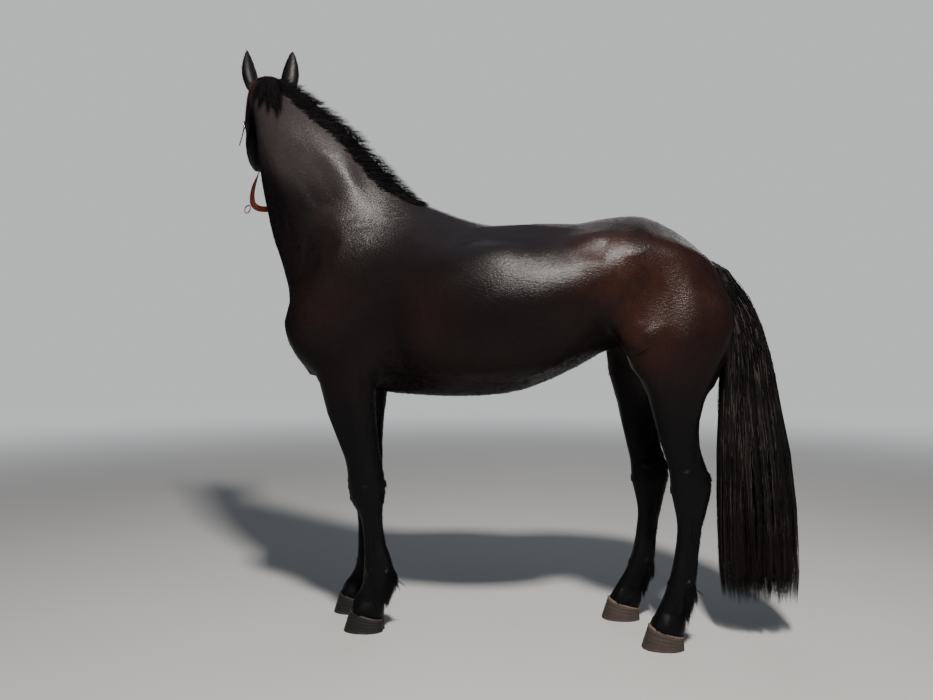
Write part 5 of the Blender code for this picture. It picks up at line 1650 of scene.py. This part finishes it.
def add_mane(tree, material):
    """Hair brushed up the near side and over the crest, with short ends along the top."""
    count, stations = 5900, 8
    row = 0.7 + 8.5 * RANDOM.random(count)
    crest, down, left, back, half = neck_frame(row)
    full = soft(0.7, 2.0, row) * soft(9.4, 8.4, row)
    depth = RANDOM.random(count)
    offset = np.where(RANDOM.random(count) < 0.72, 0.2 + 0.75 * depth, -0.6 * depth)
    ragged = 0.72 + 0.38 * RANDOM.random(400)[np.round(row * 27.0).astype(int) % 400]
    low = np.where(offset > 0.0, 0.012 + 0.066 * full * depth * ragged, 0.01)
    roots = crest + left * (np.clip(offset, -0.6, 0.95) * half)[:, None] + down * low[:, None]
    settled, normals = nearest(tree, roots)
    lock = np.round(row * 15.0 + 1.2 * depth)
    shift = RANDOM.normal(0.0, 1.0, (200, 3))[lock.astype(int) % 200]
    kind = RANDOM.random(count)
    fringe = kind < 0.34
    upward = unit(normals * 0.4 - down * 0.9)
    sweep = back * (0.034 + 0.55 * low + 0.01 * shift[:, 0])[:, None]
    height = 0.01 + 0.007 * full * RANDOM.random(count) + 0.004 * shift[:, 1] * full
    over_top = crest - left * (0.1 * half)[:, None] + upward * np.maximum(height, 0.006)[:, None] + sweep
    reach = RANDOM.uniform(0.08, 0.185, count) * (0.45 + 0.55 * full)
    first = settled + normals * 0.005 - down * (0.3 * low)[:, None]
    first = first + sweep * (0.3 + 0.35 * RANDOM.random((count, 1)))
    third = crest - left * (half + RANDOM.uniform(0.01, 0.028, count))[:, None]
    third = third + down * reach[:, None] + sweep * 1.6
    third += shift * 0.006
    stand = RANDOM.uniform(0.012, 0.034, count) * (0.45 + 0.55 * full)
    lean = back + upward * 0.55 - left * 0.15 + shift * 0.2 + RANDOM.normal(0.0, 0.1, (count, 3))
    second = np.where(fringe[:, None], over_top - sweep * 0.25 - upward * 0.003, over_top)
    third = np.where(fringe[:, None], over_top + unit(lean) * stand[:, None], third)
    paths = bezier(np.stack([settled - normals * 0.002, first, second, third], axis=1), stations)
    paths = lifted(paths, tree, RANDOM.uniform(0.002, 0.012, count))
    flat = np.column_stack([0.02 + 0.96 * (row - 0.7) / 8.5, 0.3 + 0.35 * offset])
    widths = RANDOM.uniform(0.001, 0.0019, count) * 1.0
    hair_pieces("mane_hair", paths, widths, normals, flat, material, replaces=("mane",))


def draped(tree, starts, ends, drops, clearance, stations):
    """Paths that leave the crest and lie down the left of the neck, found level by level."""
    count = len(starts)
    paths = np.empty((count, stations, 3))
    for index in range(count):
        last = starts[index]
        for station in range(stations):
            t = station / (stations - 1)
            y = starts[index][1] + (ends[index] - starts[index][1]) * t ** 0.9
            z = starts[index][2] - drops[index] * t ** 1.25
            spot, normal, _, _ = tree.ray_cast(Vector((ORIGIN[0] + 0.6, y, z)), Vector((-1.0, 0.0, 0.0)))
            clear = clearance[index] * min(1.0, 4.0 * t)
            place = last if spot is None else np.array(spot + normal * clear)
            paths[index, station] = place if station else starts[index]
            last = place
    paths[:, 1:-1] = (paths[:, :-2] + 2.0 * paths[:, 1:-1] + paths[:, 2:]) / 4.0
    return paths


LOCK_STATIONS = 10


def add_poll_lock(tree, material):
    """The lock that falls behind the left ear."""
    count = 1300
    share = RANDOM.random(count)
    locks = np.round(share * 13.0) / 13.0
    row = 8.05 + 1.45 * share
    crest, down, left, _, half = neck_frame(np.minimum(row, 9.0))
    offset = RANDOM.uniform(-0.5, 0.6, count)
    roots = crest + left * (offset * half)[:, None] - down * 0.004
    roots[:, 1] -= 0.03 * np.maximum(row - 9.0, 0.0)
    starts = nearest(tree, roots)[0]
    ends = ORIGIN[1] - 0.815 - 0.135 * (0.8 * locks + 0.2 * share) + RANDOM.normal(0.0, 0.006, count)
    tips = 1.93 + 0.088 * locks + 0.095 * RANDOM.random(count) ** 1.8 + 0.03 * np.sin(61.0 * locks)
    paths = draped(tree, starts, ends, starts[:, 2] - tips, RANDOM.uniform(0.004, 0.02, count), LOCK_STATIONS)
    outward = np.tile(unit(np.array([0.9, 0.1, 0.5])), (count, 1))
    flat = np.column_stack([0.3 + 0.25 * share, 0.5 + 0.3 * offset])
    hair_pieces("poll_lock", paths, RANDOM.uniform(0.0009, 0.0016, count), outward, flat, material)


def add_forelock(tree, material):
    """Hair that falls between the ears and spreads down the forehead."""
    count = 1050
    spread = np.clip(RANDOM.normal(0.0, 0.5, count), -1.0, 1.0)
    share = RANDOM.random(count)
    clump = np.round(spread * 5.0)
    sway = 0.016 * np.sin(9.0 * clump + 1.3)
    shorter = 0.03 * np.cos(7.0 * clump)
    roots = np.array([on_head(-0.03 + 0.085 * s, 0.001, 0.03 * w) for s, w in zip(share, spread)])
    roots = nearest(tree, roots)[0] - ABOVE * 0.002
    reach = 0.232 - 0.08 * np.abs(spread) - 0.07 * share + shorter
    across = 0.3 * 0.046 * spread + 0.7 * 0.046 * clump / 5.0 + sway
    tips = np.array([on_head(r, 0.014, w) for r, w in zip(reach, across)])
    tips += RANDOM.normal(0, 0.004, (count, 3))
    first = roots + ABOVE * RANDOM.uniform(0.004, 0.012, (count, 1)) + ALONG * 0.03
    aside = 0.5 * (0.04 * spread + across)
    second = np.array([on_head(0.55 * r, 0.024, w) for r, w in zip(reach, aside)])
    paths = bezier(np.stack([roots, first, second, tips], axis=1), LOCK_STATIONS)
    paths = lifted(paths, tree, RANDOM.uniform(0.0025, 0.011, count))
    flat = np.column_stack([0.65 + 0.25 * share, 0.5 + 0.3 * spread])
    widths = RANDOM.uniform(0.0013, 0.0021, count)
    outward = np.tile(ABOVE, (count, 1))
    hair_pieces("forelock_hair", paths, widths, outward, flat, material, replaces=("forelock",))


# ----------------------------------------------------------------- tufts of the coat
# Each region: how many, shortest, longest, how far they stand out, how far their tips hang.
TUFTS = {
    "feather": (2600, 0.022, 0.05, 0.42, 0.35),
    "coronet": (1700, 0.007, 0.014, 0.35, 0.1),
    "cannon": (1500, 0.008, 0.016, 0.3, 0.15),
    "forearm": (1000, 0.008, 0.015, 0.22, 0.1),
    "buttock": (600, 0.006, 0.011, 0.12, 0.05),
    "belly": (1500, 0.007, 0.016, 0.25, 0.15),
    "flank": (700, 0.01, 0.022, 0.25, 0.2),
    "elbow": (600, 0.01, 0.02, 0.25, 0.15),
    "breast": (1000, 0.006, 0.012, 0.16, 0.1),
    "throat": (900, 0.006, 0.014, 0.22, 0.12),
    "jaw": (900, 0.006, 0.013, 0.25, 0.15),
    "topline": (600, 0.005, 0.009, 0.08, 0.0),
    "ears": (1800, 0.005, 0.011, 0.22, 0.0),
    "face": (1500, 0.003, 0.006, 0.12, 0.0),
    "body": (1800, 0.005, 0.009, 0.05, 0.0),
}
TUFT_STRANDS = 3                # strands that share one root's neighbourhood
EAR_HAIR = (0.012, 0.17)        # ears' hair starts this far above the foot, and reaches this far


class CoatSites:
    """Random places on the skin, chosen by region."""

    def __init__(self, skin):
        self.points, self.faces = mesh_arrays(skin.data)
        a, b, c = (self.points[self.faces[:, k]] for k in range(3))
        cross = np.cross(b - a, c - a)
        self.area = np.linalg.norm(cross, axis=1)
        self.normals = unit(cross)
        self.middles = (a + b + c) / 3.0
        self.weights = coat_regions(self.middles, self.normals)

    def pick(self, region, count):
        weight = self.area * self.weights[region]
        index = RANDOM.choice(len(weight), count, p=weight / weight.sum())
        root, slide = np.sqrt(RANDOM.random(count)), RANDOM.random(count)
        shares = np.column_stack([1.0 - root, root * (1.0 - slide), root * slide])
        return (self.points[self.faces[index]] * shares[:, :, None]).sum(1), self.normals[index]


def above_coronet(places):
    """Height of each place above the top of its hoof."""
    gap = np.full(len(places), 1.0)
    for pair, (front, back, place, _) in HOOVES.items():
        for side in SIDES.values():
            shift = stagger_of(pair, side, 0.06)
            run = np.clip((back + shift - places[:, 1]) / (back - front), -0.2, 1.2)
            top = HOOF_HEEL_HEIGHT + (HOOF_TOE_HEIGHT - HOOF_HEEL_HEIGHT) * run
            beside = np.abs(places[:, 0] - place * side) < 0.09
            ahead = np.abs(places[:, 1] - (front + back) / 2.0 - shift) < 0.11
            gap = np.where(beside & ahead, places[:, 2] - top, gap)
    return gap


def coat_regions(points, normals):
    """How much of each region's hair every place carries."""
    places, head = points - ORIGIN, head_places(points)
    side, run, height = np.abs(places[:, 0]), places[:, 1], places[:, 2]
    mirrored = np.column_stack([side, run, height])
    back, down = normals[:, 1], -normals[:, 2]
    on_the_head = (head[:, 0] > 0.03) & near_head(head) & (height > 1.55)
    ears = on_ear(points, 1.0, *EAR_HAIR) | on_ear(points, -1.0, *EAR_HAIR)
    trunk = (height > 0.85) & ~on_the_head & ~ears
    coronet = above_coronet(places)
    return {
        "feather": (height > 0.125) & (height < 0.225) & (back > 0.3),
        "coronet": (coronet > 0.0) & (coronet < 0.008) & (height < 0.11),
        "cannon": (height > 0.22) & (height < 0.66) & (back > 0.55),
        "forearm": (height > 0.62) & (height < 0.92) & (run < -0.1) & (back > 0.5),
        "buttock": (height > 0.62) & (height < 1.3) & (run > 0.45) & (back > 0.5),
        "belly": trunk & (run > -0.42) & (run < 0.42) & (height < 1.02) & (down > 0.55),
        "flank": blob(mirrored, (0.19, 0.33, 1.0), (0.08, 0.09, 0.07)),
        "elbow": blob(mirrored, (0.17, -0.3, 0.93), (0.06, 0.06, 0.07)),
        "breast": trunk & (run < -0.52) & (back < -0.35) & (height < 1.45),
        "throat": trunk & (run < -0.6) & (height > 1.4) & (back < -0.2) & (down > -0.2),
        "jaw": on_the_head & (head[:, 1] < -0.09) & (head[:, 0] < 0.5) & (normals @ ABOVE < -0.35),
        "topline": trunk & (run > -0.3) & (run < 0.78) & (normals[:, 2] > 0.8) & (side < 0.1),
        "ears": ears,
        "face": on_the_head & ~ears,
        "body": trunk,
    }


def hair_ways(points):
    """The way the coat lies: back along the body, down the legs, and down the face."""
    places, head = points - ORIGIN, head_places(points)
    low = soft(1.1, 0.75, places[:, 2])[:, None]
    ways = np.array([0.0, 0.9, -0.4]) * (1.0 - low) + np.array([0.0, 0.22, -1.0]) * low
    neck = (soft(-0.45, -0.62, places[:, 1]) * soft(1.35, 1.55, places[:, 2]))[:, None]
    ways = ways * (1.0 - neck) + np.array([0.0, 0.55, -0.85]) * neck
    on_the_head = (head[:, 0] > 0.03) & near_head(head) & (places[:, 2] > 1.55)
    ways[on_the_head] = ALONG * 0.6 - ABOVE * 0.6
    for side in SIDES.values():
        _, lean, opening, _ = ear_axes(side)
        ways[on_ear(points, side, *EAR_HAIR)] = lean + opening * 0.15
    return ways + RANDOM.normal(0.0, 0.1, ways.shape)


def add_tufts(skin, tree, dark_material):
    """Tufts where the coat breaks the form, on every side, and fine ones where it lies flat."""
    sites, unwrap = CoatSites(skin), Unwrap(skin)
    share = 1.0
    controls, widths, outward, owners = [], [], [], []
    for region, (count, short, long, stand, hang) in TUFTS.items():
        count = int(count * share)
        places, normals = sites.pick(region, count)
        ways = hair_ways(places)
        ways = unit(ways - normals * (ways * normals).sum(1)[:, None])
        length = RANDOM.uniform(short, long, count)
        for _ in range(TUFT_STRANDS):
            off = RANDOM.normal(0.0, 1.0, (count, 3))
            off -= normals * (off * normals).sum(1)[:, None]
            reach = (length * RANDOM.uniform(0.8, 1.1, count))[:, None]
            rise = stand * RANDOM.uniform(0.7, 1.2, (count, 1))
            root = places + off * 0.0022
            tip = places + off * 0.0017 + ways * reach + normals * (reach * 0.55 * rise)
            tip = tip - UPWARD * (reach * hang * 0.4)
            controls.append(np.stack([
                root - normals * 0.001,
                root + ways * (0.3 * reach) + normals * (reach * 0.3 * rise + 0.0006),
                root * 0.35 + tip * 0.65 + normals * (reach * 0.15 * rise + 0.0005),
                tip,
            ], axis=1))
            widths.append(RANDOM.uniform(0.00065, 0.0011, count) * (0.65 if short < 0.0065 else 1.0))
            outward.append(normals)
            owners.append(places)
    order = RANDOM.permutation(sum(map(len, owners)))
    mixed = [np.concatenate(rows)[order] for rows in (controls, owners, widths, outward)]
    paths, owners, widths, outward = mixed
    hair_pieces("coat_tufts", bezier(paths, 4), widths, outward, unwrap.read(owners), fur_finish(), "coat",
                roots=owners, lit_as=outward)
    add_face_hairs(tree, unwrap, dark_material)


def add_face_hairs(tree, unwrap, material):
    """Lashes along the upper lids and thin whiskers on the lips and chin."""
    controls, outward = [], []
    for side in SIDES.values():
        centre, out, fore, up = eye_axes(side)
        for across in np.linspace(-0.7, 0.62, 46):
            margin = lid_margins(across)[0] + 0.03
            front = math.sqrt(max(1.0 - across ** 2 - margin ** 2, 0.05))
            way = unit(fore * across + up * margin + out * front)
            root = centre + way * (EYE_RADIUS + LID_THICKNESS - 0.0006)
            lean = unit(way * 0.8 + fore * (across * 0.35) - up * 0.25) + RANDOM.normal(0.0, 0.07, 3)
            reach = RANDOM.uniform(0.008, 0.014)
            controls.append([root, root + lean * 0.4 * reach, root + lean * 0.8 * reach - up * 0.1 * reach,
                             root + lean * reach + up * 0.06 * reach])
            outward.append(up)
    for _ in range(130):
        side = RANDOM.choice((-1.0, 1.0))
        along, low = RANDOM.uniform(0.5, 0.605), RANDOM.uniform(-0.165, -0.075)
        spot, normal, _, _ = tree.find_nearest(Vector(on_head(along, low, 0.07 * side)))
        root, normal = np.array(spot), np.array(normal)
        lean = unit(normal + ALONG * 0.25 - UPWARD * 0.35 + RANDOM.normal(0.0, 0.15, 3))
        reach = RANDOM.uniform(0.014, 0.042)
        controls.append([root - normal * 0.001, root + lean * 0.4 * reach, root + lean * 0.75 * reach,
                         root + lean * reach - UPWARD * 0.12 * reach])
        outward.append(LEFT * side)
    controls, outward = np.array(controls), np.array(outward)
    widths = RANDOM.uniform(0.00045, 0.00075, len(controls))
    hair_pieces("face_hairs", bezier(controls, 7), widths, outward, unwrap.read(controls[:, 0]), material)


# ----------------------------------------------------------------- stage, light and camera
BACKDROP = (0.62, 0.63, 0.64)
CAMERA_PLACE = (2.938, 0.249, 1.02)
CAMERA_AIM = (-0.9924, -0.1228, 0.0)
LENS_LENGTH = 30.096463         # millimetres, before a sensor 36 mm wide
LENS_SHIFT = 0.0053590568       # upwards, as a share of the sensor's width


def add_stage():
    """A pale floor that runs softly into the backdrop's tone far from the model."""
    floor = Finish("studio_floor")
    cloud = floor.noise(floor.place(), 1.3, 3.0)
    distance = floor.make("ShaderNodeVectorMath", {"operation": "LENGTH"}, {0: floor.place()}, 1)
    far = floor.step(distance, 2.5, 11.0)
    near_shade = floor.mixed(cloud, (0.31, 0.306, 0.3), (0.34, 0.336, 0.33))
    floor.feed({
        "Base Color": floor.mixed(far, near_shade, (0.0, 0.0, 0.0)),
        "Emission Color": floor.mixed(far, (0.0, 0.0, 0.0), BACKDROP),
        "Emission Strength": 1.0,
        "Roughness": 0.85,
    })
    shape = bmesh.new()
    bmesh.ops.create_circle(shape, cap_ends=True, segments=96, radius=14.0)
    mesh = bpy.data.meshes.new("floor")
    shape.to_mesh(mesh)
    shape.free()
    item = piece("floor", mesh, floor.material)
    item.location.z = -0.0005


def add_light(name, place, aim, size, power, colour=(1.0, 1.0, 1.0)):
    data = bpy.data.lights.new(name, "AREA")
    data.shape = "RECTANGLE"
    data.size, data.size_y = size
    data.energy = power
    data.color = colour
    item = shown(name, data)
    item.location = place
    item.rotation_euler = (Vector(aim) - Vector(place)).to_track_quat("-Z", "Y").to_euler()


def add_lights():
    add_light("key", (3.3, 0.9, 4.9), (0.1, -0.1, 1.3), (0.5, 0.5), 760.0, (1.0, 0.955, 0.9))
    add_light("fill", (4.6, -3.6, 2.6), (0.0, -0.3, 1.2), (2.4, 2.4), 12.0, (0.86, 0.93, 1.0))
    add_light("top", (-0.8, -0.6, 6.0), (0.1, 0.0, 1.4), (3.0, 3.0), 26.0, (0.62, 0.78, 1.0))
    add_light("far_side", (-4.6, 0.6, 3.6), (0.0, 0.0, 1.2), (4.5, 3.5), 70.0)
    bpy.context.scene.world = studio_air()


def studio_air():
    """A pale backdrop that sheds only a little light of its own."""
    world = bpy.data.worlds.new("studio")
    world.use_nodes = True
    nodes, links = world.node_tree.nodes, world.node_tree.links
    glow = nodes["Background"]
    glow.inputs["Color"].default_value = (0.6, 0.76, 1.0, 1.0)
    glow.inputs["Strength"].default_value = 0.065
    backdrop = nodes.new("ShaderNodeBackground")
    backdrop.inputs["Color"].default_value = (*BACKDROP, 1.0)
    seen = nodes.new("ShaderNodeLightPath")
    blend = nodes.new("ShaderNodeMixShader")
    links.new(seen.outputs["Is Camera Ray"], blend.inputs[0])
    links.new(glow.outputs[0], blend.inputs[1])
    links.new(backdrop.outputs[0], blend.inputs[2])
    links.new(blend.outputs[0], nodes["World Output"].inputs[0])
    return world


def add_camera():
    """At the height of the belly, a little behind the withers on the left side."""
    data = bpy.data.cameras.new("camera")
    data.sensor_width = 36.0
    data.lens = LENS_LENGTH
    data.shift_y = LENS_SHIFT
    item = shown("camera", data)
    item.location = horse(*CAMERA_PLACE)
    item.rotation_euler = Vector(CAMERA_AIM).to_track_quat("-Z", "Y").to_euler()
    bpy.context.scene.camera = item


# ----------------------------------------------------------------- the whole model
add_stage()
add_lights()
add_camera()
SKIN = make_skin(coat_finish())
SKIN_TREE = BVHTree.FromObject(SKIN, bpy.context.evaluated_depsgraph_get())
add_eyes(eye_finish())
add_hooves()
add_halter()
# The fourth colour of each hair finish is a painted glint: lighter strands that stand for highlights.
TAIL_FINISH = hair_finish(
    "tail_hair", (0.0024, 0.0023, 0.0026), (0.0078, 0.0064, 0.0062), (0.05, 0.042, 0.038),
    (0.01, 0.0078, 0.0068))
MANE_FINISH = hair_finish(
    "mane_hair", (0.0016, 0.0015, 0.0018), (0.0042, 0.0035, 0.0036), (0.018, 0.015, 0.015),
    (0.0062, 0.005, 0.0047), 0.58, 0.04)
add_tail(SKIN_TREE, TAIL_FINISH)
add_mane(SKIN_TREE, MANE_FINISH)
add_poll_lock(SKIN_TREE, MANE_FINISH)
add_forelock(SKIN_TREE, MANE_FINISH)
add_tufts(SKIN, SKIN_TREE, MANE_FINISH)
